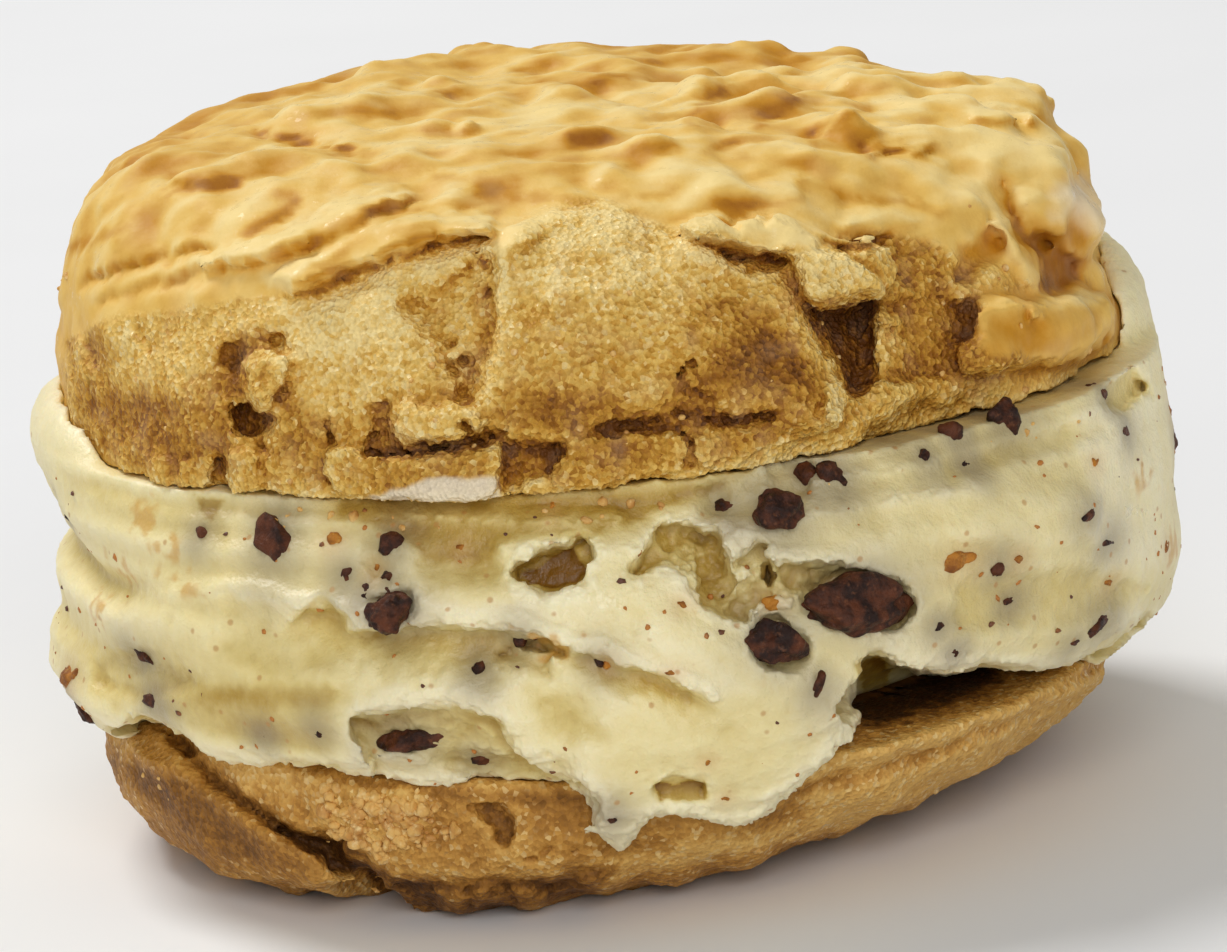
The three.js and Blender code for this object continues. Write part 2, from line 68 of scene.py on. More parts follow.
# ---------- the front drawing ----------
ELEVATION, ROLL = math.radians(13.0), math.radians(5.1)
AWAY, SCALE = 450.0, 13.46  # mm from the aim point to the viewer, drawing units per mm there
SHEET = (1227, 952)  # its width and height in drawing units
RAGGED = 3.2  # how far the drawn lines waver, in drawing units
FINE_WAVER = 0.9  # the share of the finest wavering
FACING = 0.14  # how far a surface turns to the viewer before it takes the drawing in full
SPOT_SIDES = 10
LIP_FULL = 0.08  # the share of an area's fall that keeps its full depth
AIM = np.array([1.32, 0.0, 23.9])
BACK = np.array([0, -math.cos(ELEVATION), math.sin(ELEVATION)])
LEVEL_UP = np.cross(BACK, [1, 0, 0])
RIGHT = math.cos(ROLL) * np.array([1, 0, 0]) - math.sin(ROLL) * LEVEL_UP
UP = math.sin(ROLL) * np.array([1, 0, 0]) + math.cos(ROLL) * LEVEL_UP


# ---------- small maths ----------
def ease(t):
    """From 0 to 1, setting off and arriving gently."""
    t = np.clip(t, 0, 1)
    return t * t * (3 - 2 * t)


def step(v, a, b):
    """0 where v is below a, 1 where it is past b."""
    return ease((v - a) / (b - a))


def bell(v, width):
    """1 at 0, falling off over width."""
    return np.exp(-((v / width) ** 2))


def turn(a, b):
    """The turn from angle b to angle a, from -180 to 180."""
    return (a - b + 540) % 360 - 180


def follow(pairs, v):
    """Smooth interpolation through (position, value) pairs, flat past the ends."""
    p = np.array([a for a, _ in pairs], np.float32)
    q = np.array([b for _, b in pairs], np.float32)
    k = np.clip(np.searchsorted(p, v, side="right") - 1, 0, len(p) - 2)
    t = ease((v - p[k]) / (p[k + 1] - p[k]))
    return q[k] + (q[k + 1] - q[k]) * t


def uneven(x, y, z):
    """Slow unevenness from -1 to 1, with swells about 10 to 25 millimetres long."""
    a = np.sin(0.41 * x + 1.3 * np.sin(0.23 * y + 0.4) + 0.35 * z)
    b = np.sin(0.47 * y + 1.1 * np.sin(0.29 * z + 1.7) - 0.21 * x)
    c = np.sin(0.83 * z + 0.61 * x + 0.9 * np.sin(0.37 * y + 2.1))
    return (a + b + c) / 3


# Random values at whole steps in x, y and z, which repeat after 64 steps each way.
REPEAT_BITS = 6
LATTICE = np.random.default_rng(7).uniform(-1, 1, 2 ** (3 * REPEAT_BITS)).astype(np.float32)
GRAIN_SHIFT = 0.42  # how far a grain may lie from the middle of its step
GRAIN_REACH = 0.75  # how far a grain reaches, in steps
AXIS_SHIFT = 4099  # where in the lattice the shift along the next axis is found


def lattice_place(i, j, k):
    """Where in the lattice the value for three whole numbers is kept."""
    last = 2**REPEAT_BITS - 1
    return ((i & last) << (2 * REPEAT_BITS)) | ((j & last) << REPEAT_BITS) | (k & last)


def noise(p, size, seed):
    """Smooth random values from -1 to 1 that change over about size millimetres."""
    q = p / np.float32(size) + np.float32(3.7 * seed + 11.3)  # each seed is another part of the lattice
    base = np.floor(q)
    f = (q - base).astype(np.float32)
    f = f * f * (3 - 2 * f)
    i = base.astype(np.int32)
    out = np.zeros(q.shape[:-1], np.float32)
    for dx in (0, 1):
        wx = f[..., 0] if dx else 1 - f[..., 0]
        for dy in (0, 1):
            wy = wx * (f[..., 1] if dy else 1 - f[..., 1])
            for dz in (0, 1):
                wz = wy * (f[..., 2] if dz else 1 - f[..., 2])
                out += wz * LATTICE[lattice_place(i[..., 0] + dx, i[..., 1] + dy, i[..., 2] + dz)]
    return out


def layered(p, size, seed):
    """Noise with half as much again of noise half its size."""
    return noise(p, size, seed) + noise(p, size / 2, seed + 5) / 2


def grains(p, size, seed):
    """Rounded grains about size millimetres across: 1 at a grain's middle, 0 between."""
    q = p / np.float32(size) + np.float32(5.1 * seed + 20)
    base = np.floor(q).astype(np.int32)
    best = np.full(len(p), 9.0, np.float32)
    for near in np.ndindex(3, 3, 3):
        c = base + (np.array(near, np.int32) - 1)
        key = lattice_place(c[:, 0], c[:, 1], c[:, 2])
        away = 0
        for axis in range(3):
            at = c[:, axis] + 0.5 + GRAIN_SHIFT * LATTICE[(key + AXIS_SHIFT * axis) % len(LATTICE)]
            away = away + (q[:, axis] - at) ** 2
        best = np.minimum(best, away)
    return np.clip(1 - np.sqrt(best) / GRAIN_REACH, 0, 1)


def sheet(x, y, z):
    """Where a point falls on the front drawing: across and down."""
    px, pz = x - AIM[0], z - AIM[2]
    far = AWAY - y * BACK[1] - pz * BACK[2]
    across = px * RIGHT[0] + y * RIGHT[1] + pz * RIGHT[2]
    rise = px * UP[0] + y * UP[1] + pz * UP[2]
    return SHEET[0] / 2 + SCALE * AWAY * across / far, SHEET[1] / 2 - SCALE * AWAY * rise / far


def waver(p, seeds):
    """How far the drawn lines stray at points, in drawing units."""
    middle, coarse, fine = seeds
    return RAGGED * (noise(p, 1.0, middle) + noise(p, 2.6, coarse) + FINE_WAVER * noise(p, 0.55, fine))


def ragged_sheet(p):
    """The front drawing seen at points, its lines made crumbly."""
    u, v = sheet(p[:, 0], p[:, 1], p[:, 2])
    return u + waver(p, (41, 42, 45)), v + waver(p, (43, 44, 46))


def to_outline(u, v, points, is_open):
    """Distance in millimetres to an outline on the drawing, less than 0 inside it."""
    best = np.full(u.shape, 1e9, np.float32)
    inside = np.zeros(u.shape, bool)
    for n in range(len(points) - is_open):
        (ax, ay), (bx, by) = points[n], points[(n + 1) % len(points)]
        dx, dy = bx - ax, by - ay
        px, py = u - ax, v - ay
        t = np.clip((px * dx + py * dy) / (dx * dx + dy * dy), 0, 1)
        best = np.minimum(best, (px - t * dx) ** 2 + (py - t * dy) ** 2)
        if not is_open:
            inside ^= ((ay > v) != (by > v)) & (px < py * dx / (dy or 1))
    far = np.sqrt(best) / SCALE
    return np.where(inside, -far, far)


def islands(quads, count):
    """Which points belong to each loose part: one number a part."""
    label = np.arange(count)
    while True:
        low = np.repeat(label[quads].min(axis=1), quads.shape[1])
        new = label.copy()
        np.minimum.at(new, quads.ravel(), low)
        new = new[new]
        if (new == label).all():
            return label
        label = new


Stroke = namedtuple("Stroke", "points is_open thick amount soft lip fall ends")


def area(amount, soft, points, lip=0, fall=0.0, ends=(0, 0)):
    """A closed outline on the drawing, pressed in by amount over an edge soft millimetres wide.
    With lip, the amount fades with distance from its first points, over fall millimetres,
    and near the two ends of that lip."""
    return Stroke(points, False, 0, amount, soft, lip, fall, ends)


def score(amount, thick, soft, points):
    """A line on the drawing, pressed in by amount, thick being half its width."""
    return Stroke(points, True, thick, amount, soft, 0, 0, (0, 0))


def spot(amount, soft, u, v, wide, tall=None):
    """A round or oval area, with its half sizes in drawing units."""
    turns = [2 * math.pi * n / SPOT_SIDES for n in range(SPOT_SIDES)]
    return area(amount, soft, [(u + wide * math.cos(t), v + (tall or wide) * math.sin(t)) for t in turns])


def fade_from_lip(share, u, v, stroke):
    """The share that an area with a lip has at places on the drawing."""
    lip = stroke.points[: stroke.lip]
    share = share * (1 - step(to_outline(u, v, lip, True), LIP_FULL * stroke.fall, stroke.fall))
    for (eu, ev), taper in zip((lip[0], lip[-1]), stroke.ends):
        if taper:
            share = share * step(np.hypot(u - eu, v - ev) / SCALE, 0, taper)
    return share


def drawn(u, v, strokes):
    """The sum of all strokes at places on the drawing."""
    total = np.zeros(u.shape, np.float32)
    for stroke in strokes:
        margin = (stroke.thick + stroke.soft) * SCALE + 2
        low, high = np.min(stroke.points, axis=0) - margin, np.max(stroke.points, axis=0) + margin
        k = np.flatnonzero((u > low[0]) & (u < high[0]) & (v > low[1]) & (v < high[1]))
        away = to_outline(u[k], v[k], stroke.points, stroke.is_open) - stroke.thick
        share = step(-away, -stroke.soft / 2, stroke.soft / 2)
        if stroke.lip:
            share = fade_from_lip(share, u[k], v[k], stroke)
        total[k] += stroke.amount * share
    return total


def blend(a, b, k):
    """Joins two shapes with a fillet k wide."""
    h = np.maximum(k - np.abs(a - b), 0) / k
    return np.minimum(a, b) - h * h * k / 4


def carve(a, b, k):
    """Cuts b out of a with a rounded edge k wide."""
    return -blend(-a, b, k)


# ---------- shapes, each as its distance function, its lowest corner and its highest ----------
def place(az, r, z):
    """The point at an angle, radius and height."""
    a = math.radians(az)
    return np.array([r * math.sin(a), -r * math.cos(a), z])


def polar(p):
    """(angle, radius, height) of points."""
    az = np.degrees(np.arctan2(p[..., 0], -p[..., 1]))
    return az, np.hypot(p[..., 0], p[..., 1]), p[..., 2]


def lump(at, half, lean=0):
    """A lump placed by angle, radius and height, with half sizes along, out and up."""
    ca, sa = math.cos(math.radians(at[0])), math.sin(math.radians(at[0]))
    cl, sl = math.cos(math.radians(lean)), math.sin(math.radians(lean))
    small = min(half)

    def field(x, y, z):
        u = x * ca + y * sa
        w = x * sa - y * ca - at[1]
        h = z - at[2]
        along, out, up = (u * cl + h * sl) / half[0], w / half[1], (h * cl - u * sl) / half[2]
        return (np.sqrt(along**2 + out**2 + up**2) - 1) * small

    c = place(*at)
    reach = math.hypot(*half)
    return field, c - reach, c + reach


def bar(start, end, thick):
    """A rounded bar, thick being half its width, between two places."""
    a, b = place(*start), place(*end)
    d = b - a
    long = float(d @ d)

    def field(x, y, z):
        px, py, pz = x - a[0], y - a[1], z - a[2]
        t = np.clip((px * d[0] + py * d[1] + pz * d[2]) / long, 0, 1)
        away = (px - t * d[0]) ** 2 + (py - t * d[1]) ** 2 + (pz - t * d[2]) ** 2
        return np.sqrt(away) - thick

    return field, np.minimum(a, b) - thick, np.maximum(a, b) + thick


def chain(points, thick, k):
    """Bars from point to point, each with its join k."""
    return [(bar(a, b, thick), k) for a, b in zip(points, points[1:])]


KNOT = 2.4  # how far random values spread before they are smoothed, to come out from -1 to 1
BESIDE = 1.5  # how far past a shape's reach the clay is worked
DRAWN_ABOVE = 3  # how far outside the surface the drawing is still pressed in
WORN_NEAR, WORN_SIDE = 2, 60  # how near the surface, and how far from the front, clay is worn
OUTERMOST, INNERMOST, LOOK = 46, 20, 0.1  # where the surface is looked for from outside, and in what steps
RIDGE_RANGE = 1.1  # how much of its reach a full ridge stands out


class Clay:
    """A block of distances in millimetres that lumps are added to and cut from.
    The waves (size, amount, seed) bend it, so that nothing in it comes out quite regular."""

    def __init__(self, low, high, waves):
        self.low = np.array(low, float)
        n = np.ceil((np.array(high) - self.low) / CELL).astype(int) + 1
        self.shape = tuple(n)
        self.lines = [self.low[a] + CELL * np.arange(n[a], dtype=np.float32) for a in range(3)]
        self.x, self.y, self.z = np.meshgrid(*self.lines, indexing="ij", sparse=True)
        self.bent = [np.broadcast_to(v, self.shape).astype(np.float32) for v in (self.x, self.y, self.z)]
        for size, amount, seed in waves:
            for axis in range(3):
                self.bent[axis] += amount * self.rough(size, seed + axis)
        self.az = np.degrees(np.arctan2(self.bent[0], -self.bent[1]))
        self.r = np.hypot(self.x, self.y)
        self.d = None

    def rough(self, size, seed):
        """Smooth random values, about -1 to 1, that change over about size millimetres."""
        shares = []
        for line in self.lines:
            q = (line - line[0]) / size
            k = np.floor(q).astype(int)
            f = q - k
            w = np.zeros((len(q), k[-1] + 4), np.float32)
            spline = ((1 - f) ** 3, 3 * f**3 - 6 * f**2 + 4, -3 * f**3 + 3 * f**2 + 3 * f + 1, f**3)
            for n, share in enumerate(spline):
                w[np.arange(len(q)), k + n] = share / 6
            shares.append(w)
        knots = np.random.default_rng(seed).uniform(-KNOT, KNOT, [w.shape[1] for w in shares])
        out = np.tensordot(shares[0], knots.astype(np.float32), 1)
        out = np.tensordot(out, shares[1], (1, 1))
        return np.tensordot(out, shares[2], (1, 1))

    def window(self, low, high, margin):
        """The cells between two corners, with a margin round them."""
        a = np.floor((low - margin - self.low) / CELL).astype(int)
        b = np.ceil((high + margin - self.low) / CELL).astype(int) + 1
        a = np.clip(a, 0, self.shape)
        b = np.clip(b, 0, self.shape)
        return tuple(slice(i, j) for i, j in zip(a, b))

    def work(self, shapes, join):
        """Puts (shape, width of the rounding) pairs into the clay, each joined on or cut out."""
        for (field, low, high), k in shapes:
            w = self.window(low, high, k + BESIDE)
            if min(s.stop - s.start for s in w) > 0:
                self.d[w] = join(self.d[w], field(*(v[w] for v in self.bent)), k)

    def add(self, shapes):
        self.work(shapes, blend)

    def cut(self, shapes):
        self.work(shapes, carve)

    def centres(self, flat):
        """Where the cells with these flat numbers lie."""
        at = np.unravel_index(flat, self.shape)
        return np.stack([self.lines[a][at[a]] for a in range(3)], -1)

    def draw(self, strokes, deepest):
        """Presses the strokes of the front drawing into the surface that faces the viewer."""
        slope = np.gradient(self.d, CELL)
        facing = slope[1] * BACK[1] + slope[2] * BACK[2]
        near = np.flatnonzero((self.d > -deepest) & (self.d < DRAWN_ABOVE) & (facing > 0))
        pressed = drawn(*ragged_sheet(self.centres(near)), strokes) * step(facing.ravel()[near], 0, FACING)
        flat = self.d.ravel()
        flat[near] += pressed
        self.d = flat.reshape(self.shape)

    def worn(self, strokes):
        """The strokes' values in the cells near the front surface."""
        near = np.flatnonzero((np.abs(self.d) < WORN_NEAR).ravel() & (np.abs(self.az.ravel()) < WORN_SIDE))
        out = np.zeros(self.d.size, np.float32)
        out[near] = drawn(*ragged_sheet(self.centres(near)), strokes)
        return out.reshape(self.shape)

    def spread(self, cells):
        """The distances averaged over a box, for telling hollows from ridges."""
        d = np.clip(self.d, -BAND, BAND)
        for axis in range(3):
            n = d.shape[axis]
            run = np.cumsum(d, axis=axis, dtype=np.float64)
            head = np.minimum(np.arange(n) + cells, n - 1)
            tail = np.arange(n) - cells - 1
            shape = [1, 1, 1]
            shape[axis] = n
            before = np.take(run, np.maximum(tail, 0), axis=axis) * (tail >= 0).reshape(shape)
            count = (head - np.maximum(tail, -1)).reshape(shape)
            d = (np.take(run, head, axis=axis) - before) / count
        return d

    def sample(self, block, p):
        """Values of a block of the same grid at points, in millimetres."""
        q = (p - self.low) / CELL
        i = np.clip(np.floor(q).astype(int), 0, np.array(self.shape) - 2)
        f = np.clip(q - i, 0, 1)
        out = 0
        for dx in (0, 1):
            for dy in (0, 1):
                for dz in (0, 1):
                    w = (f[:, 0] if dx else 1 - f[:, 0]) * (f[:, 1] if dy else 1 - f[:, 1])
                    w = w * (f[:, 2] if dz else 1 - f[:, 2])
                    out = out + w * block[i[:, 0] + dx, i[:, 1] + dy, i[:, 2] + dz]
        return out

    def ridge(self, p, reach):
        """From 0 in a hollow to 1 on a ridge, judged over reach millimetres."""
        cells = max(1, round(reach / CELL))
        return np.clip(0.5 + self.sample(self.spread(cells), p) / (RIDGE_RANGE * cells * CELL), 0, 1)

    def outer(self, az, z):
        """How far out the surface is at an angle and a height."""
        r = np.arange(OUTERMOST, INNERMOST, -LOOK)
        p = np.stack([place(az, v, z) for v in r])
        inside = self.sample(self.d, p) < 0
        return float(r[np.argmax(inside)]) if inside.any() else None

    def keep_clear(self, other):
        """Cuts the room that another block takes, with the visible clearance."""
        w = self.window(other.low, other.low + CELL * (np.array(other.shape) - 1), 0)
        gx, gy, gz = np.broadcast_arrays(self.x[w[0]], self.y[:, w[1]], self.z[:, :, w[2]])
        p = np.stack([gx, gy, gz], -1).reshape(-1, 3).astype(np.float64)
        there = other.sample(other.d, p).reshape(gx.shape)
        self.d[w] = np.maximum(self.d[w], TOUCH - there)

    def skin(self):
        """(points in millimetres, faces) of the surface."""
        grid = openvdb.FloatGrid(BAND)
        grid.copyFromArray(np.clip(self.d, -BAND, BAND).astype(np.float32))
        points, quads = grid.convertToQuads(0.0)
        return points.astype(np.float64) * CELL + self.low, quads


def normals(p, quads):
    """The outward direction at each point."""
    a, b, c, d = (p[quads[:, n]] for n in range(4))
    face = np.cross(c - a, d - b)
    out = np.zeros_like(p)
    for axis in range(3):
        for n in range(4):
            out[:, axis] += np.bincount(quads[:, n], face[:, axis], len(p))
    return out / np.maximum(np.linalg.norm(out, axis=1, keepdims=True), 1e-9)


def refine(p, quads, chosen):
    """Splits the chosen squares in four. Also gives, for each new point on an edge, its ends,
    and which of them lie on the border with squares that stay whole."""
    split = quads[chosen]
    sides = np.stack([split, np.roll(split, -1, axis=1)], -1).reshape(-1, 2)
    key, back, count = np.unique(np.sort(sides, axis=1), axis=0, return_inverse=True, return_counts=True)
    middle = len(p) + back.reshape(-1, 4)
    centre = len(p) + len(key) + np.arange(len(split))
    small = []
    for n in range(4):
        small.append(np.stack([split[:, n], middle[:, n], centre, middle[:, n - 1]], -1))
    points = np.concatenate([p, p[key].mean(axis=1), p[split].mean(axis=1)])
    return points, np.concatenate([quads[~chosen]] + small), key, count == 1


LEVEL = 0.02  # points this near a height lie on it


def close_flat(p, quads, height):
    """Swaps the many squares of a hidden flat face for one fan of triangles."""
    flat = (np.abs(p[:, 2] - height) < LEVEL) & (np.hypot(p[:, 0], p[:, 1]) < HIDDEN)
    gone = flat[quads].all(axis=1)
    sides = np.concatenate([quads[gone][:, [n, (n + 1) % 4]] for n in range(4)])
    key = np.sort(sides, axis=1)
    _, first, count = np.unique(key, axis=0, return_index=True, return_counts=True)
    rim = sides[first[count == 1]]
    centre = np.full((len(rim), 1), len(p))
    p = np.concatenate([p, [[0, 0, height]]])
    return p, quads[~gone], np.concatenate([rim, centre], axis=1)


def build(name, p, faces, nodes=(), values=None):
    """A piece from points in millimetres and lists of faces, with named values at its points."""
    used = np.unique(np.concatenate([f.ravel() for f in faces]))
    renumber = np.zeros(len(p), np.int64)
    renumber[used] = np.arange(len(used))
    faces = [renumber[f] for f in faces]
    p = p[used]
    corners = np.concatenate([f.ravel() for f in faces]).astype(np.int32)
    sizes = np.concatenate([np.full(len(f), f.shape[1]) for f in faces])
    mesh = bpy.data.meshes.new(name)
    mesh.vertices.add(len(p))
    mesh.vertices.foreach_set("co", (p * MM).astype(np.float32).ravel())
    mesh.loops.add(len(corners))
    mesh.loops.foreach_set("vertex_index", corners)
    mesh.polygons.add(len(sizes))
    mesh.polygons.foreach_set("loop_start", np.concatenate([[0], np.cumsum(sizes)[:-1]]).astype(np.int32))
    mesh.update()
    mesh.validate()
    mesh.shade_smooth()
    for key, value in (values or {}).items():
        full = np.zeros(len(renumber), np.float32)
        full[: len(value)] = np.clip(value, 0, 1)
        layer = mesh.attributes.new(key, "FLOAT", "POINT")
        layer.data.foreach_set("value", full[used])
    piece = bpy.data.objects.new(name, mesh)
    bpy.context.scene.collection.objects.link(piece)
    if nodes:
        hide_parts(*nodes)
    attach(piece, "root")
    print(name, len(p), "points", int((sizes - 2).sum()), "triangles")
    return piece


# ---------- upper cookie ----------
LID_WAIST = [  # angle, and how far the side bulges past its radius
    (-180, -0.8), (-130, -0.2), (-90, 0.1), (-60, 0.2), (-30, -0.2), (0, -0.7), (25, -0.8), (42, -1.6),
    (58, -0.1), (90, 0.9), (130, 0.6), (180, -0.8),
]
LID_EDGE = [  # angle, and how sharply the side turns in
    (-180, 13), (-120, 13), (-85, 13), (-50, 8), (-25, 6), (5, 6), (35, 7), (60, 9), (90, 14), (130, 14),
    (180, 13),
]
LID_SHOULDER = [  # angle, and how squarely the crown meets the side
    (-180, 2.2), (-120, 2.5), (-85, 2.5), (-50, 2), (-25, 1.7), (5, 1.8), (35, 1.6), (60, 1.8), (90, 2.4),
    (180, 2.2),
]
CRUST_EDGE = [  # angle, and the height where the skin ends and the broken crumb begins below it
    (-95, 31), (-80, 35), (-62, 40), (-50, 42), (-38, 43.5), (-28, 45.2), (-18, 46.5), (-10, 47.2),
    (-6, 49), (0, 49.6), (8, 49), (11, 48), (15, 47), (20, 46.2), (28, 46.4), (34, 45.2), (44, 44.5),
    (52, 42.5), (60, 40), (70, 38), (84, 35), (95, 30),
]
CRUMB_SHARE = [  # angle, and how crumbly the broken side is there
    (-105, 0), (-85, 0.5), (-70, 0.7), (-45, 0.85), (-30, 0.95), (-15, 1), (30, 1), (46, 0.9), (54, 0.5),
    (85, 0.4), (96, 0),
]

# Bulges left between fork tines at the back: x, y, half width, half depth, height.
LID_MARKS = [
    (-1.8, 12.4, 3, 4, 0.4), (3.4, 9.4, 3, 4, 0.5), (-9.2, 9, 2.4, 3.4, 0.4), (-14, 3, 3, 3.4, 0.4),
    (16, 8, 2.6, 4, 0.4), (23, 4, 2.6, 4, 0.4), (9, 4, 2.4, 4, 0.4), (8, -3.4, 2.6, 5, 0.5),
    (13.2, -4.6, 1.8, 5, 0.4), (17.6, -9, 1.8, 5, 0.5), (-6, 2.6, 1.6, 2.6, 0.3), (25, -4, 2.2, 4, 0.4),
    (-18, -1, 2.6, 4.6, 0.4), (-22, 8, 3, 4, 0.4), (3.4, -18, 1.8, 2.6, 0.3), (0, 24, 4, 4, 0.5),
    (-12, 20, 3, 5, 0.5), (12, 20, 3, 5, 0.5), (-20, 18, 3, 4, 0.4), (22, 16, 3, 4, 0.5),
    (5, 30, 4, 2, 0.3),
]
# Bulges between fork marks: place on the front drawing, half width there, real half depth, height.
MOUNDS = [
    (585, 136, 27, 2.4, 1.7), (652, 142, 25, 2.4, 1.6), (498, 190, 30, 2.8, 2.4), (560, 196, 28, 2, 1.2),
    (620, 190, 14, 1.6, 0.8), (660, 190, 20, 1.8, 1.0), (722, 154, 26, 2.2, 1.1),
    (745, 200, 32, 2.2, 1.3), (784, 192, 26, 2.2, 1.2), (838, 192, 15, 1.6, 0.8),
    (897, 154, 36, 2.2, 2.0), (980, 168, 28, 2.2, 1.9), (1002, 120, 34, 2.2, 1.9),
    (438, 134, 18, 2.2, 1.0), (466, 134, 11, 1.6, 0.7), (442, 178, 20, 2.0, 1.0),
    (283, 196, 20, 2.2, 1.2), (375, 112, 30, 2.4, 0.8), (442, 94, 19, 2.2, 0.9), (510, 148, 24, 2.2, 0.6),
    (310, 130, 40, 2.6, 1.0), (540, 70, 30, 2.4, 0.8), (600, 70, 28, 2.4, 0.8), (700, 92, 22, 2.8, 1.0),
    (776, 98, 24, 3, 1.6), (845, 112, 26, 3, 1.7), (205, 172, 42, 2.6, 1.1), (380, 198, 26, 2.0, 0.8),
    (900, 192, 40, 1.8, 1.6), (560, 104, 26, 2.4, 0.5), (930, 104, 26, 2.6, 1.3), (665, 84, 22, 2.4, 0.7),
    (330, 170, 26, 2.4, 0.6), (400, 160, 24, 2.0, 0.6), (250, 160, 24, 2.4, 0.5),
    (140, 214, 34, 2.4, 0.6), (100, 236, 26, 2.4, 0.7), (1046, 160, 24, 2.4, 1.4),
    (610, 160, 20, 1.8, 0.5), (860, 172, 20, 1.8, 0.8), (1040, 128, 20, 2.2, 1.0),
    (960, 206, 26, 1.8, 1.2), (1010, 190, 20, 2, 1.2), (800, 132, 22, 2, 0.9), (745, 126, 20, 2, 0.8),
    (700, 120, 20, 2, 0.7), (860, 62, 26, 2.4, 0.7), (960, 76, 26, 2, 0.7), (680, 214, 22, 1.5, 0.8),
    (240, 190, 26, 2.2, 0.6),
]
# Painted shade on the front sides of those bulges: points, half width, how dark.
CROWN_PAINTED_SHADE = [
    ([(515, 70), (538, 77), (562, 88)], 0.3, 0.5), ([(572, 84), (592, 77), (625, 77)], 0.3, 0.45),
    ([(722, 88), (702, 104), (684, 126)], 0.35, 0.55), ([(796, 98), (775, 110), (756, 122)], 0.4, 0.6),
    ([(866, 108), (842, 118), (812, 136)], 0.4, 0.55), ([(866, 150), (895, 148), (930, 151)], 0.4, 0.65),
    ([(705, 150), (728, 145), (746, 154)], 0.25, 0.35), ([(718, 204), (745, 206), (800, 200)], 0.3, 0.55),
    ([(801, 180), (801, 192)], 0.2, 0.5), ([(828, 188), (842, 194)], 0.35, 0.35),
    ([(855, 198), (900, 200), (942, 210)], 0.22, 0.5),
    ([(972, 118), (1000, 116), (1032, 120)], 0.35, 0.45), ([(958, 168), (1002, 160)], 0.35, 0.3),
    ([(570, 138), (604, 138)], 0.5, 0.35), ([(630, 148), (676, 150)], 0.4, 0.4),
    ([(645, 193), (678, 191)], 0.3, 0.35), ([(608, 191), (624, 191)], 0.25, 0.25),
    ([(484, 188), (514, 194)], 0.7, 0.45), ([(534, 199), (590, 197)], 0.3, 0.45),
    ([(432, 92), (454, 92)], 0.35, 0.55), ([(472, 105), (486, 106)], 0.3, 0.35),
    ([(345, 107), (392, 114)], 0.35, 0.35), ([(262, 131), (300, 139), (350, 149)], 0.35, 0.5),
    ([(338, 150), (402, 154)], 0.25, 0.35), ([(176, 181), (236, 181)], 0.5, 0.5),
    ([(428, 134), (448, 136)], 0.45, 0.45), ([(460, 132), (472, 130)], 0.3, 0.3),
    ([(434, 178), (458, 178)], 0.4, 0.5), ([(246, 233), (270, 221), (294, 204)], 0.35, 0.6),
    ([(276, 194), (290, 198)], 0.5, 0.4), ([(68, 251), (92, 241), (124, 228)], 0.35, 0.55),
    ([(824, 238), (850, 246), (886, 238)], 0.4, 0.4), ([(1010, 200), (1018, 228)], 0.35, 0.4),
]
# The two long ridges at the left of the crown, then creases and ridges, on the front drawing.
CROWN_STROKES = [
    area(-1.3, 1.3, [(200, 262), (262, 240), (310, 218), (350, 200), (385, 190), (408, 198), (384, 212),
        (340, 232), (296, 250), (240, 266)]),
    area(-1.7, 1.3, [(274, 276), (312, 250), (348, 229), (384, 217), (427, 214), (489, 221), (492, 230),
        (438, 239), (384, 257), (334, 279), (292, 290)]),
    score(0.5, 0.2, 1.2, [(190, 274), (255, 266), (300, 254), (345, 236), (390, 214)]),
    score(0.4, 0.2, 1.2, [(290, 296), (330, 286), (384, 264), (440, 244), (488, 236)]),
    score(0.7, 0.3, 1.2, [(86, 286), (120, 270), (170, 258), (210, 250)]),
    score(0.5, 0.3, 1.2, [(104, 300), (150, 284), (200, 282)]),
    score(0.7, 0.3, 1.0, [(1008, 186), (1010, 206), (1020, 236)]),
    score(0.5, 0.2, 1.2, [(262, 134), (300, 143), (350, 154)]),
    score(0.5, 0.2, 1.4, [(170, 190), (236, 188)]),
    area(-0.4, 0.5, [(866, 142), (895, 134), (932, 138), (936, 150), (920, 156), (888, 152), (866, 156)]),
    area(-0.4, 0.5, [(968, 112), (1000, 104), (1034, 110), (1034, 120), (1000, 122), (970, 118)]),
]
